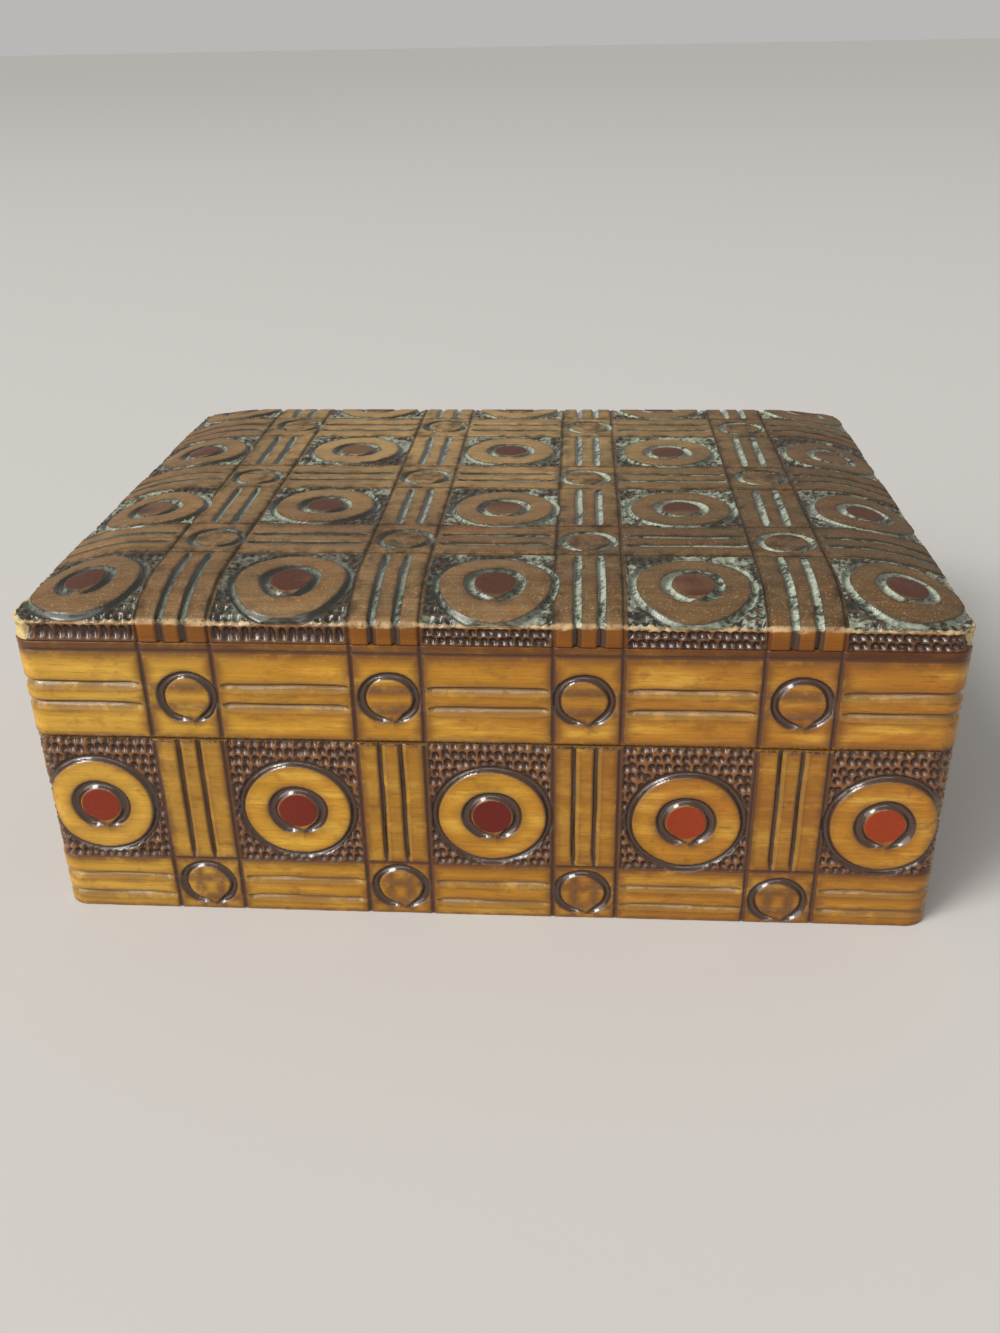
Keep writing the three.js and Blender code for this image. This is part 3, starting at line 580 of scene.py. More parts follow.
class Carving:
    """The cuts at the points of one face: u along it and v across it, in millimetres.

    A mask holds how far a point lies inside a cut: a half at its edge, 1 well inside and 0 outside.
    """

    MASKS = ("groove", "gouge", "lip", "shade", "score", "punched", "ridge", "paint", "worn",
             "chip", "halo", "strip")
    MASK_REACH = 0.8

    def __init__(self, u, v, seed):
        self.u = u
        self.v = v
        self.seed = seed
        self.depth = np.zeros(u.shape)
        self.masks = {name: np.zeros(u.shape) for name in self.MASKS}

    def mark(self, mask, strength):
        self.masks[mask] = np.maximum(self.masks[mask], np.clip(strength, 0, 1))

    def outline(self, mask, distance):
        """Marks an area by the distance in from its edge."""
        self.mark(mask, 0.5 + distance / self.MASK_REACH)

    def cut(self, depth):
        self.depth = np.maximum(self.depth, depth)

    def darken(self, distance, reach):
        """Stain that has crept out of a cut."""
        self.mark("halo", np.exp(-((distance / reach) ** 2)))

    def axes(self, lengthwise):
        return (self.u, self.v) if lengthwise else (self.v, self.u)

    def polar(self, centre, squash):
        """Distance from a centre in widths of the ring, and the angle from straight down."""
        du = self.u - centre[0]
        dv = (self.v - centre[1]) / squash
        return np.hypot(du, dv), np.arctan2(du, -dv)

    def outside(self, centre, diameter, squash):
        """Distance out from a circle."""
        return self.polar(centre, squash)[0] - diameter / 2

    def round_cut(self, centre, diameter, width, depth, squash, gap=0.0, turn=0.10):
        """A round groove. Its tool starts and ends low on the circle, where a ridge is left."""
        radius, angle = self.polar(centre, squash)
        middle = diameter / 2 - width / 2
        phase = 7 * hashed(centre[0], centre[1], self.seed)
        uneven = 0.05 * np.sin(2 * angle + phase) + 0.03 * np.sin(5 * angle + 2 * phase)
        off = radius - middle - uneven
        half = width / 2 * (1 + 0.08 * np.sin(3 * angle + 3 * phase))
        past = np.full(radius.shape, width)
        swell = 1.0
        if gap:
            past = np.abs(angle - turn) * middle - gap / 2
            swell = smooth(past, -0.1, 1.8)
            half = half * (0.25 + 0.75 * smooth(past, -0.2, 2.6))
            off = off - 0.22 * (1 - smooth(past, 0.0, 2.4)) * np.sign(angle - turn)
        self.cut(depth * swell * np.clip(1 - (off / half) ** 2, 0, None))
        self.outline("groove", np.minimum(half - np.abs(off), past + 0.2))
        self.darken(off, width * 0.75)

    def ring(self, centre):
        """A turned ring with a painted dot in its eye."""
        self.round_cut(centre, size("ring"), size("ring_groove"), size("ring_depth") * 1.15,
                       ring_squash())
        self.eye(centre)

    def eye(self, centre):
        self.round_cut(centre, size("eye"), size("eye_groove"), size("ring_depth"),
                       EYE_SQUASH, 0.2)
        self.outline("paint", -self.outside(centre, size("dot"), EYE_SQUASH))

    def circle(self, centre):
        self.round_cut(centre, size("circle"), size("circle_groove"), size("ring_depth"),
                       CIRCLE_SQUASH, 0.2)

    def gouge(self, lengthwise, start, end, middle, width, mask, taper=1.2):
        """A straight gouge, along u or along v: a steep wall, a slope and ends that rise."""
        run, across = self.axes(lengthwise)
        phase = hashed(middle, start, self.seed)
        bend = 0.07 * np.sin(run / 9 + 11 * phase) + 0.04 * np.sin(run / 2.3 + 17 * phase)
        ends = np.minimum(run - start, end - run)
        full = width * (0.72 + 0.28 * smooth(ends, 0, 2 * taper))
        t = (across - middle - bend) / full
        t = 0.5 - t if lengthwise else 0.5 + t
        profile = np.interp(t, (0, 0.22, 0.52, 1), (0, 1, 0.48, 0))
        wave = 1 + 0.12 * np.sin(run / 3.1 + middle)
        self.cut(size("gouge_depth") * smooth(ends, 0, taper) * wave * profile)
        self.outline(mask, np.minimum(np.minimum(t, 1 - t) * full, ends))
        ragged = 0.30 * drift(run, across * 0 + middle, 0.7, self.seed + 3)
        self.outline("lip", np.minimum(t - 0.20, 0.62 + ragged - t) * full)
        # Painted shade on the steep wall, with the stain that gathers there; wider on the upright
        # gouges.
        dark = 0.30 if lengthwise else 0.56
        self.outline("shade", np.minimum(np.minimum(t, dark - t) * full, ends - 0.15))
        self.darken(across - middle, 1.3)

    def score(self, lengthwise, middle, width=None, depth=None):
        """A knife line: a steep wall on one side and a slope on the other."""
        run, across = self.axes(lengthwise)
        width = (width or size("score_width")) * (
            1 + 0.16 * drift(run, across * 0 + middle, 2.1, self.seed))
        bend = 0.05 * np.sin(run / 13 + 5 * hashed(middle, 1.0, self.seed))
        t = (across - middle - bend) / width
        t = 0.5 - t if lengthwise else 0.5 + t
        profile = np.clip(np.minimum(t / 0.3, (1 - t) / 0.7), 0, 1)
        self.cut((depth or size("score_depth")) * profile)
        self.outline("score", np.minimum(t, 1 - t) * width)
        # Painted shade on the steep wall, with the stain that gathers there.
        self.outline("shade", np.minimum(t, 0.50 - t) * width)
        self.darken(across - middle, 1.6)

    def borders(self, lines, lengthwise, width=None, depth=None):
        """Knife lines on both borders of each column or band."""
        for pair in lines:
            for middle in pair:
                self.score(lengthwise, middle, width, depth)

    def punch(self, within, strength=1.0):
        """Punch marks close together. within is the distance in from the punched area's edge."""
        pitch = size("punch_pitch")
        area = smooth(within, -0.05, 0.25) * strength
        x, y = self.u / pitch, self.v / (pitch * PUNCH_TALL)
        best = np.zeros(self.u.shape)
        for di in (-1, 0, 1):
            for dj in (-1, 0, 1):
                i, j = np.floor(x) + di, np.floor(y) + dj
                cx = i + 0.5 + 0.25 * np.mod(j, 2) + 0.30 * (hashed(i, j, self.seed) - 0.5)
                cy = j + 0.5 + 0.30 * (hashed(i, j, self.seed + 1) - 0.5)
                reach = 0.47 + 0.10 * hashed(i, j, self.seed + 2)
                best = np.maximum(best, 1 - ((x - cx) ** 2 + (y - cy) ** 2) / reach ** 2)
        self.cut(area * (size("ground_depth") + size("punch_depth") * best))
        self.outline("punched", within)
        self.mark("ridge", area * (1 - smooth(best, 0.05, 0.40)))


def nearest(*distances):
    """Distance in from the edge of what several areas share."""
    return reduce(np.minimum, distances)


def cells(columns, end):
    """The stretches of a face between its columns, out past its ends."""
    edges = [-end - CELL_OVERRUN, *(x for pair in columns for x in pair), end + CELL_OVERRUN]
    return list(zip(edges[::2], edges[1::2], strict=True))


def clear_of(cut, within, centres, diameter, squash):
    """Keeps a punched area out of rings or eyes."""
    overlap = 0.3
    outsides = [cut.outside(centre, diameter - overlap, squash) for centre in centres]
    return nearest(within, *outsides)


def base_pattern(cut, columns, rings, circles, eyes, end):
    """Rings in punched squares over a band of circles and gouges."""
    half_line = size("score_width") / 2
    fade = 0.25 + 0.75 * smooth(end - np.abs(cut.u), 0.1, 0.7)
    for low, high in cells(columns, end):
        within = nearest(cut.u - low - half_line, high - half_line - cut.u,
                         cut.v - FOOT_LINE - 0.2)
        within = clear_of(cut, within, rings, size("ring"), ring_squash())
        cut.punch(clear_of(cut, within, eyes, size("eye"), EYE_SQUASH), fade)
        for z in FOOT_GOUGES:
            cut.gouge(True, low + 0.5, high - 0.5, z, FOOT_GOUGE, "gouge")
    for centre in rings:
        cut.ring(centre)
    for centre in eyes:
        cut.eye(centre)
    for low, high in columns:
        within = nearest(cut.u - low, high - cut.u, cut.v - FOOT_LINE)
        cut.mark("halo", 0.45 * smooth(within, 0, 1))
        for side in (-WALL_FLUTE_SPREAD, WALL_FLUTE_SPREAD):
            cut.gouge(False, FOOT_LINE + 0.1, BASE_TOP + 4, (low + high) / 2 + side, WALL_FLUTE,
                      "gouge", 1.6)
    cut.borders(columns, False)
    cut.score(True, FOOT_LINE, **WALL_LINE)
    for centre in circles:
        cut.circle(centre)


def rail_pattern(cut, columns, circles, end):
    """Circles on the columns and pairs of gouges between them."""
    for low, high in cells(columns, end):
        for z in LID_GOUGES:
            cut.gouge(True, low + 0.6, high - 0.6, z, LID_GOUGE, "gouge")
    cut.borders(columns, False)
    cut.score(True, LID_LINE, **WALL_LINE)
    cut.mark("strip", smooth(cut.v, LID_LINE - 0.05, LID_LINE + 0.15))
    for centre in circles:
        cut.circle(centre)


def flipped(columns):
    return [(-high, -low) for low, high in reversed(columns)]


def mirrored(places):
    return [(-x, z) for x, z in reversed(places)]


def layout(side):
    """Columns, rings, eyes and the circles of foot and lid on one side of the box.

    The left and right sides follow the bands of the top, and the back is the front mirrored.
    """
    if side == "front":
        return FRONT_COLUMNS, FRONT_RINGS, (), FOOT_CIRCLES, LID_CIRCLES
    if side == "back":
        places = map(mirrored, (FRONT_RINGS, (), FOOT_CIRCLES, LID_CIRCLES))
        return flipped(FRONT_COLUMNS), *places
    bands = [(low - HALF_DEPTH, high - HALF_DEPTH) for low, high in TOP_BANDS]
    if side == "left":
        bands = flipped(bands)
    middles = [(low + high) / 2 for low, high in bands]
    rings = [((bands[i][1] + bands[i + 1][0]) / 2, 21.0 + 0.3 * i) for i in range(2)]
    eyes = [(bands[0][0] - 7.6, 21.2), (bands[2][1] + 7.0, 21.2)]
    return bands, rings, eyes, [(x, 5.3) for x in middles], [(x, 43.1) for x in middles]


def wall_carving(side, part, u, v):
    """The carving of one wall of the base or one rail of the lid."""
    cut = Carving(u, v, SIDES.index(side) + (11 if part == "lid" else 1))
    columns, rings, eyes, foot_circles, lid_circles = layout(side)
    end = face_sizes(side)[2]
    if part == "base":
        base_pattern(cut, columns, rings, foot_circles, eyes, end)
    else:
        rail_pattern(cut, columns, lid_circles, end)
    return cut


def top_carving(x, y, drop):
    """The carving of the lid's top board. drop is how far a point lies down the board's edge.

    Also gives the distance in from the edge of the cells, for the marks down the board's edge.
    """
    v = y + HALF_DEPTH
    cut = Carving(x, v, 21)
    half_line = size("score_width") / 2
    band_edges = [-CELL_OVERRUN, *(edge for band in TOP_BANDS for edge in band),
                  2 * HALF_DEPTH + CELL_OVERRUN]
    rows = list(zip(band_edges[::2], band_edges[1::2], strict=True))
    stretches = cells(FRONT_COLUMNS, HALF_WIDTH)
    cell = np.full(x.shape, -CELL_OVERRUN)
    for low, high in stretches:
        for near, far in rows:
            cell = np.maximum(cell, nearest(x - low, high - x, v - near, far - v) - half_line)
    cut.punch(clear_of(cut, cell, TOP_RINGS, size("ring"), ring_squash()))
    for centre in TOP_RINGS:
        cut.ring(centre)
    keep = np.where(cell > 0, 1 - smooth(drop, 0.35, 0.9), 1.0)
    cut.depth = cut.depth * keep
    for name in ("groove", "punched", "ridge", "paint", "halo"):
        cut.masks[name] = cut.masks[name] * keep
    for low, high in FRONT_COLUMNS:
        for near, far in rows:
            for side in (-TOP_FLUTE_SPREAD, TOP_FLUTE_SPREAD):
                middle = (low + high) / 2 + side
                cut.gouge(False, near + 0.4, far - 0.4, middle, TOP_FLUTE, "groove")
    for low, high in stretches:
        for pair in TOP_BAND_GOUGES:
            for middle in pair:
                cut.gouge(True, low + 0.6, high - 0.6, middle, BAND_GOUGE, "groove")
    for centre in TOP_CIRCLES:
        cut.circle(centre)
    cut.borders(FRONT_COLUMNS, False)
    cut.borders(TOP_BANDS, True, **BAND_LINE)
    return cut, cell


def marks_in_row(run, z, row):
    """Depth, from 0 to 1, of upright marks side by side. A row is (pitch, foot, head, seed)."""
    pitch, low, high, seed = row
    i = np.round(run / pitch + seed / 2)
    best = np.zeros(run.shape)
    for di in (-1, 0, 1):
        n = i + di
        centre = (n - seed / 2) * pitch + 0.4 * (hashed(n, 3.0, seed + 5) - 0.5)
        half = pitch * (0.50 + 0.08 * hashed(n, 4.0, seed + 6))
        foot = low + 0.4 * hashed(n, 5.0, seed + 7)
        head = high + 0.3 * hashed(n, 6.0, seed + 8)
        lean = 0.12 * (hashed(n, 7.0, seed + 9) - 0.5)
        across = (run - centre - lean * (z - foot)) / half
        upright = (2 * z - head - foot) / (head - foot)
        best = np.maximum(best, np.clip(1 - across ** 2 - upright ** 2, 0, 1))
    return best


def edge_marks(cut, run, z, cell):
    """Punch marks along the top board's edge: one tall row, or two low ones on the right half."""
    foot, head = RAIL_TOP + 0.15, EDGE_TOP - EDGE_STRIP - 0.1
    area = smooth(cell, -0.05, 0.2) * (1 - smooth(z, head, head + 0.35))
    middle = (foot + head) / 2
    tall = marks_in_row(run, z, (1.5, foot, head, 0))
    low = marks_in_row(run, z, (1.35, foot - 0.3, middle, 1))
    high = marks_in_row(run, z, (1.35, middle - 0.25, head + 0.1, 2))
    best = np.where(cut.u < FRONT_COLUMNS[1][0], tall, np.maximum(low, high))
    cut.cut(area * (0.1 + 0.85 * best))
    cut.outline("punched", nearest(cell, EDGE_TOP - EDGE_STRIP - z, z - RAIL_TOP + 0.2))
    cut.mark("ridge", area * (1 - smooth(best, 0.0, 0.22)))


def chips(cut, plan, z):
    """Places where the board's front corners have chipped to fresh wood."""
    front = plan[:, 1] < CHIP_BACK
    for x, reach in CHIPS:
        away = 0.75 * np.hypot(plan[:, 0] - x, z - CHIP_HEIGHT)
        ragged = away + 0.55 * drift(plan[:, 0], z, 0.9, 71)
        near = (1 - smooth(ragged, reach * 0.40, reach * 0.68)) * front
        cut.mark("chip", near)
        cut.mark("shade", (1 - smooth(ragged, reach * 0.9, reach * 1.3)) * front * (x > 0))
        for name in ("punched", "worn", "groove"):
            cut.masks[name] = cut.masks[name] * (1 - near)


# Meshes


class Shell:
    """A closed mesh that is put together from points and faces."""

    def __init__(self):
        self.points = []
        self.count = 0
        self.faces = []
        self.smooth = []
        self.slots = []

    def add(self, points):
        points = np.asarray(points, float).reshape(-1, 3)
        first = self.count
        self.points.append(points)
        self.count += len(points)
        return np.arange(first, self.count)

    def grid(self, index, closed=False):
        """Square faces over a grid of point numbers, whose rows run upwards."""
        right = np.roll(index, -1, axis=1) if closed else index[:, 1:]
        left = index if closed else index[:, :-1]
        quads = np.stack([left[:-1], right[:-1], right[1:], left[1:]], axis=-1).reshape(-1, 4)
        self.faces.extend(quads.tolist())
        self.smooth.extend([True] * len(quads))
        self.slots.extend([CARVED] * len(quads))

    def face(self, index, slot=BARE):
        self.faces.append([int(i) for i in index])
        self.smooth.append(False)
        self.slots.append(slot)

    def object(self, name, materials, masks=None):
        mesh = bpy.data.meshes.new(name)
        mesh.from_pydata((np.concatenate(self.points) * MM).tolist(), [], self.faces)
        mesh.polygons.foreach_set("use_smooth", self.smooth)
        mesh.polygons.foreach_set("material_index", self.slots)
        for material in materials:
            mesh.materials.append(material)
        for key, values in (masks or {}).items():
            layer = mesh.attributes.new(key, "FLOAT", "POINT")
            layer.data.foreach_set("value", values.astype(np.float32))
        mesh.update()
        made = bpy.data.objects.new(name, mesh)
        bpy.context.scene.collection.objects.link(made)
        return made


def face_sizes(side):
    """Half the length of a board's flat face, the face's distance from the box's middle, and how
    far the board reaches along the face and round the corner."""
    if side in CROSS_SIDES:
        half, face = HALF_WIDTH - CORNER, HALF_DEPTH
    else:
        half, face = HALF_DEPTH - CORNER, HALF_WIDTH
    return half, face, half + CORNER * lap_angle(side)


def lap_angle(side):
    """How far round the corner a board reaches, from the middle of its face."""
    if side in CROSS_SIDES:
        return math.acos(1 - LAP / CORNER)
    return math.asin((CORNER - LAP) / CORNER)


def to_world(side, along, out, z):
    """A board's own coordinates turned to the box's."""
    quarter = {"front": 0, "right": 1, "back": 2, "left": 3}[side] * math.pi / 2
    cos, sin = math.cos(quarter), math.sin(quarter)
    return np.stack([along * cos + out * sin, along * sin - out * cos, z], axis=-1)


def even_steps(low, high, pitch):
    return np.linspace(low, high, max(2, math.ceil((high - low) / pitch)) + 1)


def edge_rows(low, high, pitch, wear):
    """Heights of the rows of points, closer together at the worn edges."""
    close = np.array([0.0, 0.12, 0.35, 0.7]) * wear
    middle = even_steps(low + wear * 1.1, high - wear * 1.1, pitch)
    return np.concatenate([low + close, middle, high - close[::-1]])


def worn_edge(distance, wear):
    """How far a face is rounded back near its edge."""
    left = np.clip(wear - distance, 0, None)
    return wear - np.sqrt(np.clip(wear * wear - left * left, 0, None))


def mesh_pitch():
    return size("mesh_pitch") * 1.0


def carved_face(side, part, z0, z1):
    """Points of a board's carved outside: along, out and up, with its masks."""
    half, face, end = face_sizes(side)
    wear, pitch = size("edge_wear"), mesh_pitch()
    s, z = np.meshgrid(even_steps(-end, end, pitch), edge_rows(z0, z1, pitch, wear))
    cut = wall_carving(side, part, s, z)
    rub = wear * (0.8 + 0.3 * drift(s, z, 7.0, 31) + 0.25 * drift(s, z, 1.7, 32))
    edge = np.minimum(z - z0, z1 - z)
    inward = np.maximum(cut.depth, worn_edge(edge, rub))
    cut.mark("worn", (1 - smooth(edge, 0.05, 0.5)) * 0.35 * (z < LID_LINE))
    cut.mark("worn", smooth(np.abs(s), half + 2.0, half + 5.5) * 0.75)
    cut.outline("shade", 0.28 - (z1 - z if part == "base" else z - z0))
    cut.darken(edge, 1.0)
    cut.outline("score", 0.2 - (end - np.abs(s)))
    turn = np.clip(np.abs(s) - half, 0, None) / CORNER
    radius = CORNER - inward
    a = np.sign(s) * (np.minimum(np.abs(s), half) + radius * np.sin(turn))
    o = face - CORNER + radius * np.cos(turn)
    last = lap_angle(side)
    for i, sign in ((0, -1), (-1, 1)):
        back = inward[:, i]
        along, out = back / math.sin(last), 0
        if side not in CROSS_SIDES:
            along, out = 0, back / math.cos(last)
        a[:, i] = sign * (half + CORNER * math.sin(last) - along)
        o[:, i] = face - CORNER + CORNER * math.cos(last) - out
    return a, o, z, cut


def wall_board(name, side, part, z0, z1):
    """One wall of the base or rail of the lid, with its laps and the rebate for the bottom."""
    a, o, z, cut = carved_face(side, part, z0, z1)
    shell = Shell()
    index = shell.add(to_world(side, a, o, z)).reshape(a.shape)
    shell.grid(index)
    base, cross = part == "base", side in CROSS_SIDES
    face = face_sizes(side)[1]
    lap, inner = face - LAP, face - WALL
    # The section behind the carved face, from the top down
    if cross:
        reach = HALF_WIDTH - WALL
        foot = FLOOR_TOP if base else z0
        section = [(lap, z1), (inner, z1), (inner, foot), (lap, foot)]
        strips = (1, 2) if base else (1,)
    else:
        reach = HALF_DEPTH - LAP
        section = [(inner, z1), (inner, z0)]
        if base:
            section = [(inner, z1), (inner, FLOOR_TOP), (lap, FLOOR_TOP), (lap, z0)]
        strips = range(len(section) - 1)
    out, height = np.array(section).T
    left, right = (shell.add(to_world(side, np.full(len(section), x), out, height))
                   for x in (-reach, reach))
    left_up, right_down, bottom = index[:, 0], index[::-1, -1], index[0, ::-1]
    for i in strips:
        shell.face([right[i + 1], left[i + 1], left[i], right[i]])
    if cross:
        shell.face([*index[-1], *right[:2], *left[1::-1]], STAINED)
        shell.face(left)
        shell.face(right[::-1])
        if base:
            shell.face(bottom)
            shell.face([*left_up, left[0], left[3], right[3], right[0], *right_down])
        else:
            shell.face([*bottom, *left[:1:-1], *right[2:]], STAINED)
            shell.face([*left_up, left[0], left[3]])
            shell.face([right[3], right[0], *right_down])
    else:
        shell.face([*index[-1], right[0], left[0]], STAINED)
        shell.face([*bottom, left[-1], right[-1]], BARE if base else STAINED)
        shell.face([*left_up, *left])
        shell.face([*right[::-1], *right_down])
    masks = {key: np.pad(values.ravel(), (0, shell.count - values.size))
             for key, values in cut.masks.items()}
    return shell.object(name, board_woods(side), masks)


def crown_height(x, y):
    """Height of the pillowed top above the table."""

    def risen(distance, reach):
        left = 1 - np.clip(distance / reach, 0, 1)
        return 1 - left * left

    along = risen(HALF_WIDTH - np.abs(x), CROWN_SIDE_REACH)
    across = risen(HALF_DEPTH - np.abs(y), CROWN_FRONT_REACH)
    return EDGE_TOP + (CROWN_TOP - EDGE_TOP) * along * across


def top_grid(pitch):
    """Places of the rows of points over the top, inside its worn rim."""
    small = CORNER - ARRIS
    flat, straight = HALF_WIDTH - CORNER, HALF_DEPTH - CORNER
    angles = even_steps(0, math.pi / 2, pitch / small)[1:]
    middle = even_steps(-straight, straight, pitch)
    turn = np.concatenate([-angles[::-1], 0 * middle, angles])
    rows = np.concatenate([0 * angles - straight, middle, 0 * angles + straight])
    t = even_steps(-1, 1, pitch / (HALF_WIDTH - ARRIS))
    x = np.multiply.outer(flat + small * np.cos(turn), t)
    y = np.repeat((rows + small * np.sin(turn))[:, None], len(t), axis=1)
    return x, y


def rim_levels(outer, normal, pitch):
    """Rows of points over the worn rim and down the board's edge.

    Each gives its plan, its height, the way out and up in which it is worn, and its drop.
    """
    for angle in np.radians(np.linspace(90, 0, 6)[1:]):
        plan = outer - normal * ARRIS * (1 - math.cos(angle))
        low = ARRIS * (1 - math.sin(angle))
        yield plan, crown_height(*plan.T) - low, math.cos(angle), math.sin(angle), low
    for z in even_steps(RAIL_TOP, EDGE_TOP - ARRIS, pitch * 0.7)[-2::-1]:
        yield outer, np.full(len(outer), z), 1.0, 0.0, EDGE_TOP - z


def top_board_mesh(name, materials):
    """The pillowed top board, carved over its face and down its edges."""
    pitch = mesh_pitch() * 1.2
    x, y = top_grid(pitch)
    cut, _ = top_carving(x, y, np.zeros(x.shape))
    shell = Shell()
    index = shell.add(np.stack([x, y, crown_height(x, y) - cut.depth], axis=-1)).reshape(x.shape)
    shell.grid(index)
    rim = np.concatenate([index[0, :-1], index[:-1, -1], index[-1, :0:-1], index[:0:-1, 0]])
    plans = [np.stack([x, y], axis=-1).reshape(-1, 2)]
    limits = np.array([HALF_WIDTH - CORNER, HALF_DEPTH - CORNER])
    centre = np.clip(plans[0][rim], -limits, limits)
    normal = plans[0][rim] - centre
    normal /= np.linalg.norm(normal, axis=1)[:, None]
    outer = centre + CORNER * normal
    sweep = np.cumsum(np.r_[0, np.linalg.norm(np.diff(outer, axis=0), axis=1)])
    rows = [rim]
    masks = {key: [values.ravel()] for key, values in cut.masks.items()}
    masks["above"] = [np.ones(x.size)]
    for plan, z, sideways, upwards, drop in rim_levels(outer, normal, pitch):
        drops = np.full(len(plan), drop)
        cut, cell = top_carving(*plan.T, drops)
        edge_marks(cut, sweep, z, np.where(drop > 0.5, cell, -1.0))
        rub = 0.12 * drift(sweep, z, 2.3, 51) * smooth(z, 55.0, 55.8)
        foot = worn_edge(z - RAIL_TOP, 0.25)
        inward = np.maximum(cut.depth, foot) + np.clip(rub, 0, None)
        wave = 0.25 * drift(sweep, z, 3.1, 53) + 0.12 * drift(sweep, z, 0.9, 54)
        broken = 0.75 + 0.45 * drift(sweep, z, 1.4, 55)
        strip = smooth(z, 55.65 + wave, 55.85 + wave) * smooth(drops, 0.05, 0.2) * broken
        cut.mark("worn", strip * (1 - 0.8 * cut.masks["groove"]))
        chips(cut, plan, z)
        moved_in = plan - normal * (inward * sideways)[:, None]
        rows.append(shell.add(np.column_stack([moved_in, z - inward * upwards])))
        for key, values in cut.masks.items():
            masks[key].append(values)
        masks["above"].append(smooth(drops, 0.75, 0.25))
        plans.append(plan)
    shell.grid(np.stack(rows[::-1]), closed=True)
    shell.face(rows[-1][::-1])
    masks = {key: np.concatenate(parts) for key, parts in masks.items()}
    x, y = np.concatenate(plans).T
    # Paler towards the back middle of the top: a painted sheen of glancing light.
    tan = smooth(y, -30.0, 22.0) * (1 - smooth(np.abs(x + 5), 28.0, 66.0))
    masks["tan"] = np.clip(tan + 0.25 * drift(x, y, 14.0, 61) * tan, 0, 1)
    return shell.object(name, materials, masks)


# Solid cutters and small parts


def stacked(rings):
    """A closed shell through rings of points, each counted anticlockwise, from the foot up."""
    shell = Shell()
    rows = [shell.add(ring) for ring in rings]
    shell.grid(np.stack(rows), closed=True)
    shell.face(rows[0][::-1], CARVED)
    shell.face(rows[-1], CARVED)
    return shell


def prism(outline, low, high):
    """A closed prism of a plan outline, counted anticlockwise."""
    shell = stacked([[(x, y, z) for x, y in outline] for z in (low, high)])
    shell.smooth = [False] * len(shell.faces)
    return shell


def block(low, high):
    outline = [(low[0], low[1]), (high[0], low[1]), (high[0], high[1]), (low[0], high[1])]
    return prism(outline, low[2], high[2])


def circle_points(radius, height, segments):
    angles = np.linspace(0, 2 * math.pi, segments, endpoint=False)
    return np.column_stack([radius * np.cos(angles), radius * np.sin(angles),
                            np.full(segments, height)])


def turned(profile, segments=48):
    """A closed solid of revolution round Z: a profile of (radius, height) from the foot up."""
    return stacked([circle_points(radius, height, segments) for radius, height in profile])


def moved(shell, matrix):
    points = np.concatenate(shell.points)
    shell.points = [points @ np.array(matrix.to_3x3()).T + np.array(matrix.to_translation())]
    return shell


def rod(end, x0, x1):
    """A rod along the hinge's axis whose ends are alike: (radius, distance from the end)."""
    profile = [*end, *((radius, x1 - x0 - past) for radius, past in reversed(end))]
    place = Matrix.Translation((x0, HINGE_Y, HINGE_Z)) @ Matrix.Rotation(math.pi / 2, 4, "Y")
    return moved(turned(profile), place)


def apply_modifiers(made):
    """Leaves what the modifiers give in the object's own mesh."""
    graph = bpy.context.evaluated_depsgraph_get()
    result = bpy.data.meshes.new_from_object(made.evaluated_get(graph), depsgraph=graph)
    made.modifiers.clear()
    old, made.data = made.data, result
    bpy.data.meshes.remove(old)
    result.name = made.name
    return result


def combine(target, shell, operation="DIFFERENCE"):
    """Takes a closed shell out of the target, or adds it."""
    other = shell.object("tool_shape", [])
    change = target.modifiers.new("cut", "BOOLEAN")
    change.operation = operation
    change.solver = "MANIFOLD"
    change.object = other
    result = apply_modifiers(target)
    spare = other.data
    bpy.data.objects.remove(other)
    bpy.data.meshes.remove(spare)
    if not result.polygons:
        raise RuntimeError(f"nothing is left of {target.name}")


def soften(made, width):
    """Rounds the sharp edges of a small part."""
    bevel = made.modifiers.new("soft edges", "BEVEL")
    bevel.width = width * MM
    bevel.segments = 2
    bevel.limit_method = "ANGLE"
    bevel.angle_limit = math.radians(40)
    bevel.use_clamp_overlap = True
    result = apply_modifiers(made)
    result.polygons.foreach_set("use_smooth", [True] * len(result.polygons))
    result.set_sharp_from_angle(angle=math.radians(35))


# In what follows, up is 1 in the lid, whose wood lies above the hinge's axis, and -1 in the base


def board_edge(up):
    """Height of the back edge that a leaf is let into."""
    return HINGE_Z + up * (LID_BOTTOM - BASE_TOP) / 2


def back_bevel(up):
    """The slope along a back edge that lets the lid lean back to its stop."""
    slope = math.radians(OPEN_ANGLE / 2 + BEVEL_SPARE)
    offset = (LID_BOTTOM - BASE_TOP) / 2 / math.cos(slope)
    past, outside = 2.0, HALF_DEPTH + 2.0
    start = HINGE_Y + (-past - offset) / math.tan(slope)
    rise = offset + (outside - HINGE_Y) * math.tan(slope)
    outline = [(start, -past), (outside, -past), (outside, rise)][::up]
    turn = Matrix(((0, 0, 1, 0), (1, 0, 0, 0), (0, 1, 0, 0), (0, 0, 0, 1)))
    outline = [(y, HINGE_Z + up * z) for y, z in outline]
    return moved(prism(outline, -HALF_WIDTH - past, HALF_WIDTH + past), turn)


def screw_places(x, up):
    """Where the heads of a leaf's two screws lie, with their points into the wood."""
    for screw_x in (x - SCREW_OFFSET, x + SCREW_OFFSET):
        place = Matrix.Translation((screw_x, HINGE_Y - SCREW_SETBACK, board_edge(up)))
        yield place @ Matrix.Rotation(math.pi, 4, "X") if up > 0 else place


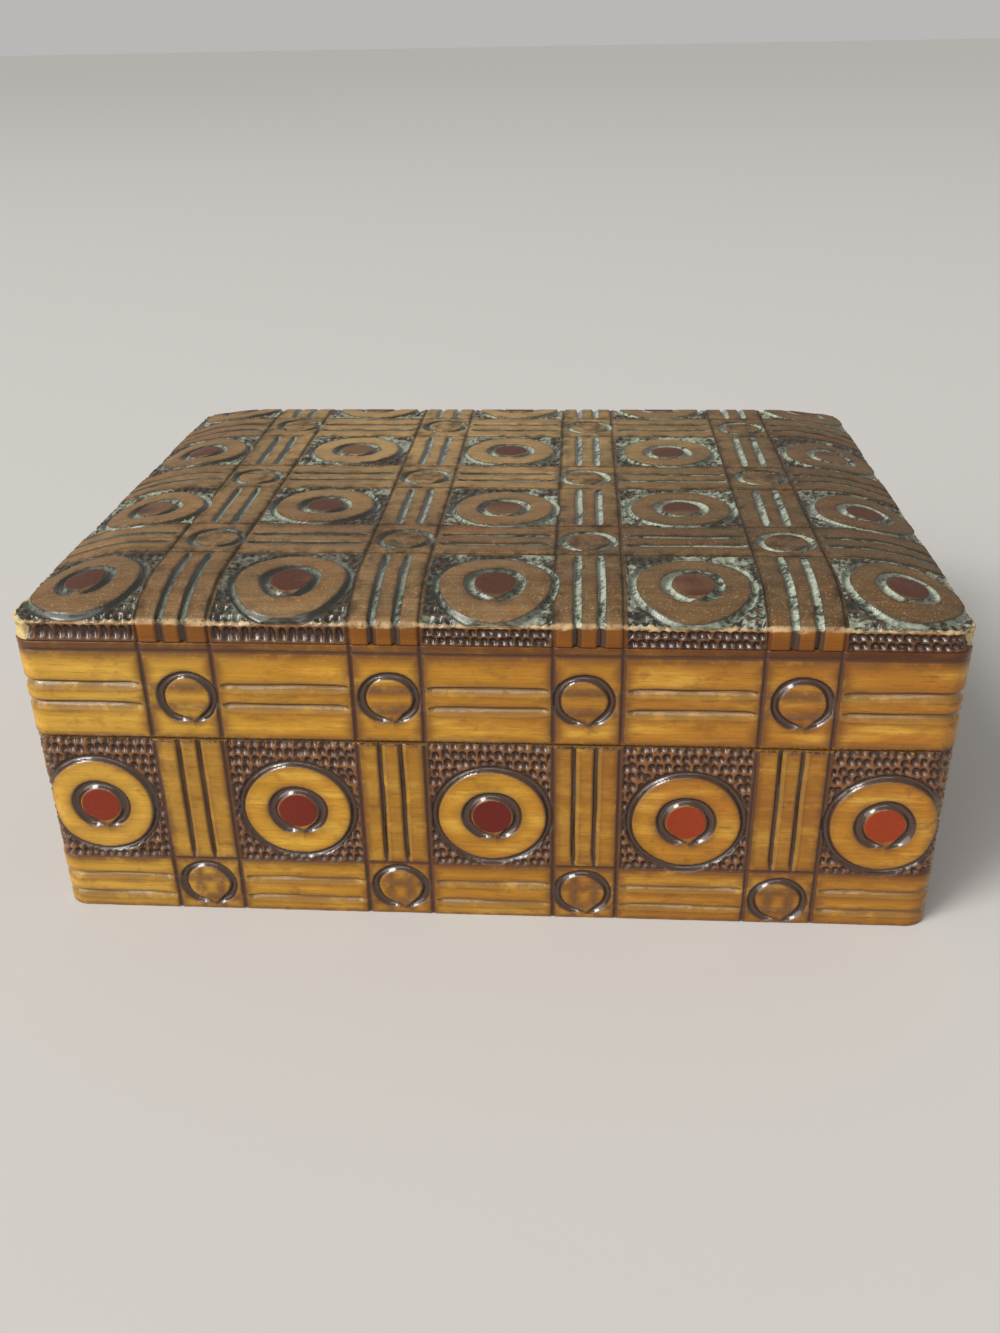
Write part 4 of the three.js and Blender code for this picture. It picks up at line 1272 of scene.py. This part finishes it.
def hinge_room(target, up):
    """Cuts the bevel, the seats of the leaves and the screws' holes into a back board."""
    combine(target, back_bevel(up))
    floor, past = board_edge(up) + up * LEAF_THICKNESS, board_edge(up) - up * 2.0
    reach = HINGE_LENGTH / 2 + HINGE_GAP
    for x in HINGE_CENTRES:
        combine(target, rod([(BARREL_RADIUS + HINGE_GAP, 0)], x - reach, x + reach))
        combine(target, block(
            (x - reach, HINGE_Y - LEAF_REACH - HINGE_GAP, min(floor, past)),
            (x + reach, HINGE_Y, max(floor, past))))
        for place in screw_places(x, up):
            combine(target, moved(turned([(0.75, -9.5), (0.75, 0.5)], 24), place))


def hinge_leaf(name, x, up, materials):
    """A leaf with its knuckles, countersunk for two screws."""
    edge = board_edge(up)
    floor = edge + up * LEAF_THICKNESS
    half = HINGE_LENGTH / 2
    leaf = block((x - half, HINGE_Y - LEAF_REACH, min(edge, floor)),
                 (x + half, HINGE_Y, max(edge, floor))).object(name, materials)
    knuckle = (HINGE_LENGTH - (KNUCKLES - 1) * HINGE_GAP) / KNUCKLES
    rounded = [(BARREL_RADIUS - 0.15, 0), (BARREL_RADIUS - 0.04, 0.04), (BARREL_RADIUS, 0.15)]
    reach = BARREL_RADIUS + HINGE_GAP
    for i in range(KNUCKLES):
        start = x - half + i * (knuckle + HINGE_GAP)
        if (i % 2 == 0) == (up < 0):
            combine(leaf, rod(rounded, start, start + knuckle), "UNION")
        else:
            combine(leaf, block(
                (start - HINGE_GAP, HINGE_Y - reach, HINGE_Z - reach),
                (start + knuckle + HINGE_GAP, HINGE_Y + reach, HINGE_Z + reach)))
    combine(leaf, rod([(PIN_RADIUS + PIN_CLEARANCE, 0)], x - half - 1, x + half + 1))
    for place in screw_places(x, up):
        sink = turned([(0.75, -2.0), (0.75, -0.65), (1.3, 0.0), (1.3, 1.0)], 32)
        combine(leaf, moved(sink, place))
    soften(leaf, 0.05)
    return leaf


def hinge_screw(name, place, materials):
    """A small countersunk wood screw with a slot and a rolled thread."""
    segments, threads, thread_start, thread_end = 24, 8, 1.6, SCREW_LENGTH - 0.1
    pitch = (thread_end - thread_start) / threads
    turns = np.arange(segments) / segments
    rings = [circle_points(radius, -depth, segments) for radius, depth in (
        (SCREW_HEAD - 0.05, 0.0), (SCREW_HEAD, 0.06), (SCREW_SHANK, 0.5), (SCREW_SHANK, 0.6),
        (SCREW_SHANK, 1.0))]
    for depth in np.linspace(thread_start, thread_end, 96):
        ridge = 1 - np.abs(2 * (((depth - thread_start) / pitch + turns) % 1.0) - 1)
        narrow = min(1.0, (SCREW_LENGTH - depth) / SCREW_TIP)
        radius = (SCREW_ROOT + (SCREW_SHANK - SCREW_ROOT) * ridge) * narrow
        rings.append(circle_points(np.maximum(0.03, radius), -depth, segments))
    screw = stacked(rings[::-1]).object(name, materials)
    place = place.copy()
    turn = math.radians(20 + 35 * (place.translation.x % 3))
    slot = moved(block((-2, -0.16, -0.3), (2, 0.16, 1.0)), Matrix.Rotation(turn, 4, "Z"))
    combine(screw, slot)
    place.translation *= MM
    screw.data.transform(place)
    screw.data.set_sharp_from_angle(angle=math.radians(40))
    return screw


def hinge_pin(name, x, materials):
    """A pin with slightly domed ends."""
    domed = [(0.35, 0), (0.62, 0.05), (0.76, 0.14), (PIN_RADIUS, 0.3)]
    half = HINGE_LENGTH / 2
    return rod(domed, x - half, x + half).object(name, materials)


def put(piece, body, node):
    """Hands a piece to the frame."""
    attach(piece, body)
    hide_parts(node)


def four_boards(body, kind, z0, z1, up):
    """The walls of the base or the rails of the lid."""
    for side in SIDES:
        board = wall_board(f"{kind}_{side}", side, body, z0, z1)
        if side == "back":
            hinge_room(board, up)
        put(board, body, f"{body}_{side}_{kind}")


# Operators


class TRINKET_OT_base_walls(bpy.types.Operator):
    """Build the four carved walls of the base"""

    bl_idname = "trinket.base_walls"
    bl_label = "Base Walls"

    def execute(self, context):
        four_boards("base", "wall", 0.0, BASE_TOP, -1)
        return {"FINISHED"}


class TRINKET_OT_base_bottom(bpy.types.Operator):
    """Build the bottom board of the base"""

    bl_idname = "trinket.base_bottom"
    bl_label = "Base Bottom"

    def execute(self, context):
        wood = [material_for("bare_wood_bottom", bare_wood, ALONG_X)]
        board = block((-FLOOR_HALF_WIDTH, -FLOOR_HALF_DEPTH, 0),
                      (FLOOR_HALF_WIDTH, FLOOR_HALF_DEPTH, FLOOR_TOP))
        board = board.object("bottom_board", wood)
        soften(board, 0.25)
        put(board, "base", "base_bottom_board")
        return {"FINISHED"}


class TRINKET_OT_lid_rails(bpy.types.Operator):
    """Build the four carved rails of the lid"""

    bl_idname = "trinket.lid_rails"
    bl_label = "Lid Rails"

    def execute(self, context):
        four_boards("lid", "rail", LID_BOTTOM, RAIL_TOP, 1)
        return {"FINISHED"}


class TRINKET_OT_lid_top(bpy.types.Operator):
    """Build the pillowed and carved top board of the lid"""

    bl_idname = "trinket.lid_top"
    bl_label = "Lid Top"

    def execute(self, context):
        woods = [material_for("worn_top", worn_top_wood, ALONG_X),
                 material_for("bare_wood_top", bare_wood, ALONG_X)]
        put(top_board_mesh("top_board", woods), "lid", "lid_top_board")
        return {"FINISHED"}


class TRINKET_OT_hinges(bpy.types.Operator):
    """Build the two brass hinges with their pins and screws"""

    bl_idname = "trinket.hinges"
    bl_label = "Hinges"

    def execute(self, context):
        brass = [material_for("hinge_brass", hinge_brass)]
        for side, x in zip(("left", "right"), HINGE_CENTRES, strict=True):
            for body, up in (("base", -1), ("lid", 1)):
                leaf = hinge_leaf(f"{side}_leaf_{body}", x, up, brass)
                put(leaf, body, f"{side}_hinge_{body}_leaf")
                for n, place in enumerate(screw_places(x, up), 1):
                    screw = hinge_screw(f"{side}_screw_{body}_{n}", place, brass)
                    put(screw, body, f"{side}_hinge_{body}_screw_{n}")
            put(hinge_pin(f"{side}_pin", x, brass), "base", f"{side}_hinge_pin")
        return {"FINISHED"}


class TRINKET_OT_stage(bpy.types.Operator):
    """Build the floor, the lamps and the camera"""

    bl_idname = "trinket.stage"
    bl_label = "Stage"

    def execute(self, context):
        settings = context.scene.trinket_stage
        studio_floor(settings)
        add_lamps(settings)
        context.scene.world = bpy.data.worlds.new("studio")
        light_room(context.scene.world, settings)
        add_camera(context.scene)
        context.scene.view_settings.view_transform = "Standard"
        return {"FINISHED"}


def studio_floor(settings):
    """A plain floor that reaches to the backdrop."""
    shell = Shell()
    shell.face(shell.add(circle_points(40000.0, 0, 96)), CARVED)
    paper = Finish("floor_paper", settings.floor)
    return shell.object("floor", [paper.finished(1.0, {"Specular IOR Level": 0.0})])


def add_lamps(settings):
    """Soft light from the upper left, as from a window, and from two wide softboxes."""
    window = bpy.data.lights.new("window", "SUN")
    window.angle = settings.key_width
    window.energy = settings.key
    window.color = (1.0, 0.97, 0.92)
    aim_lamp(window, (-0.58, -0.42, 0.70))
    add_softbox("front_softbox", (-0.27, -0.74, 0.62), (1.3, 0.3), settings.front_power)
    add_softbox("side_softbox", (-0.72, -0.60, 0.34), (0.75, 0.8), settings.side_power)


def add_softbox(name, direction, seen, power):
    """A lamp far enough away to light the floor evenly. seen is its size from a metre away."""
    distance = 3.0
    softbox = bpy.data.lights.new(name, "AREA")
    softbox.shape = "RECTANGLE"
    softbox.size = seen[0] * distance
    softbox.size_y = seen[1] * distance
    softbox.energy = power * distance * distance
    softbox.color = (1.0, 0.965, 0.91)
    aim_lamp(softbox, Vector(direction).normalized() * distance)


def aim_lamp(lamp, place):
    """Hangs a lamp at a place and turns it towards the box."""
    made = bpy.data.objects.new(lamp.name, lamp)
    made.location = place
    made.visible_camera = False
    made.rotation_euler = (-Vector(place)).to_track_quat("-Z", "Y").to_euler()
    bpy.context.scene.collection.objects.link(made)


def light_room(world, settings):
    """Even light from all round, with a plain pale backdrop for what looks at it."""
    room = Nodes(world)
    seen = room.highest(*(room.node("ShaderNodeLightPath", output=f"Is {ray} Ray")
                          for ray in ("Camera", "Glossy", "Transmission")))
    light = room.node("ShaderNodeBackground", {}, {
        "Color": (1.0, 0.985, 0.96, 1.0), "Strength": settings.ambient})
    backdrop = room.node("ShaderNodeBackground", {}, {
        "Color": opaque(settings.floor), "Strength": settings.backdrop})
    shown = room.node("ShaderNodeMixShader", {}, {0: seen, 1: light, 2: backdrop})
    room.node("ShaderNodeOutputWorld", {}, {"Surface": shown})


def add_camera(scene):
    """The photograph's viewing angle, for an upright image of 1000 by 1333."""
    lens = bpy.data.cameras.new("camera")
    lens.lens = 32.468
    lens.sensor_width = 36.0
    lens.clip_start = 0.01
    lens.clip_end = 100.0
    camera = bpy.data.objects.new("camera", lens)
    camera.location = (0.014463, -0.225859, 0.136059)
    camera.rotation_euler = [math.radians(a) for a in (62.537, 0.905, 3.515)]
    scene.collection.objects.link(camera)
    scene.camera = camera


class TRINKET_PT_panel(bpy.types.Panel):
    """Sizes, colours and build steps of the box"""

    bl_idname = "TRINKET_PT_panel"
    bl_label = "Trinket Box"
    bl_space_type = "VIEW_3D"
    bl_region_type = "UI"
    bl_category = "Trinket Box"

    def draw(self, context):
        for owner, kind in GROUPS.items():
            box = self.layout.box()
            for name in kind.__annotations__:
                box.prop(getattr(context.scene, owner), name)
        for step in STEPS:
            self.layout.operator(step.bl_idname)


STEPS = (
    TRINKET_OT_base_walls,
    TRINKET_OT_base_bottom,
    TRINKET_OT_lid_rails,
    TRINKET_OT_lid_top,
    TRINKET_OT_hinges,
    TRINKET_OT_stage,
)
GROUPS = {
    "trinket_carving": CarvingSizes,
    "trinket_colours": FinishColours,
    "trinket_stage": StageSettings,
}


def register():
    for kind in (*GROUPS.values(), *STEPS, TRINKET_PT_panel):
        bpy.utils.register_class(kind)
    for name, kind in GROUPS.items():
        setattr(bpy.types.Scene, name, bpy.props.PointerProperty(type=kind))


def unregister():
    for name in GROUPS:
        delattr(bpy.types.Scene, name)
    for kind in (TRINKET_PT_panel, *reversed(STEPS), *reversed(GROUPS.values())):
        bpy.utils.unregister_class(kind)


def main():
    register()
    bpy.ops.trinket.base_walls()
    bpy.ops.trinket.base_bottom()
    bpy.ops.trinket.lid_rails()
    bpy.ops.trinket.lid_top()
    bpy.ops.trinket.hinges()
    bpy.ops.trinket.stage()


if __name__ == "__main__":
    main()
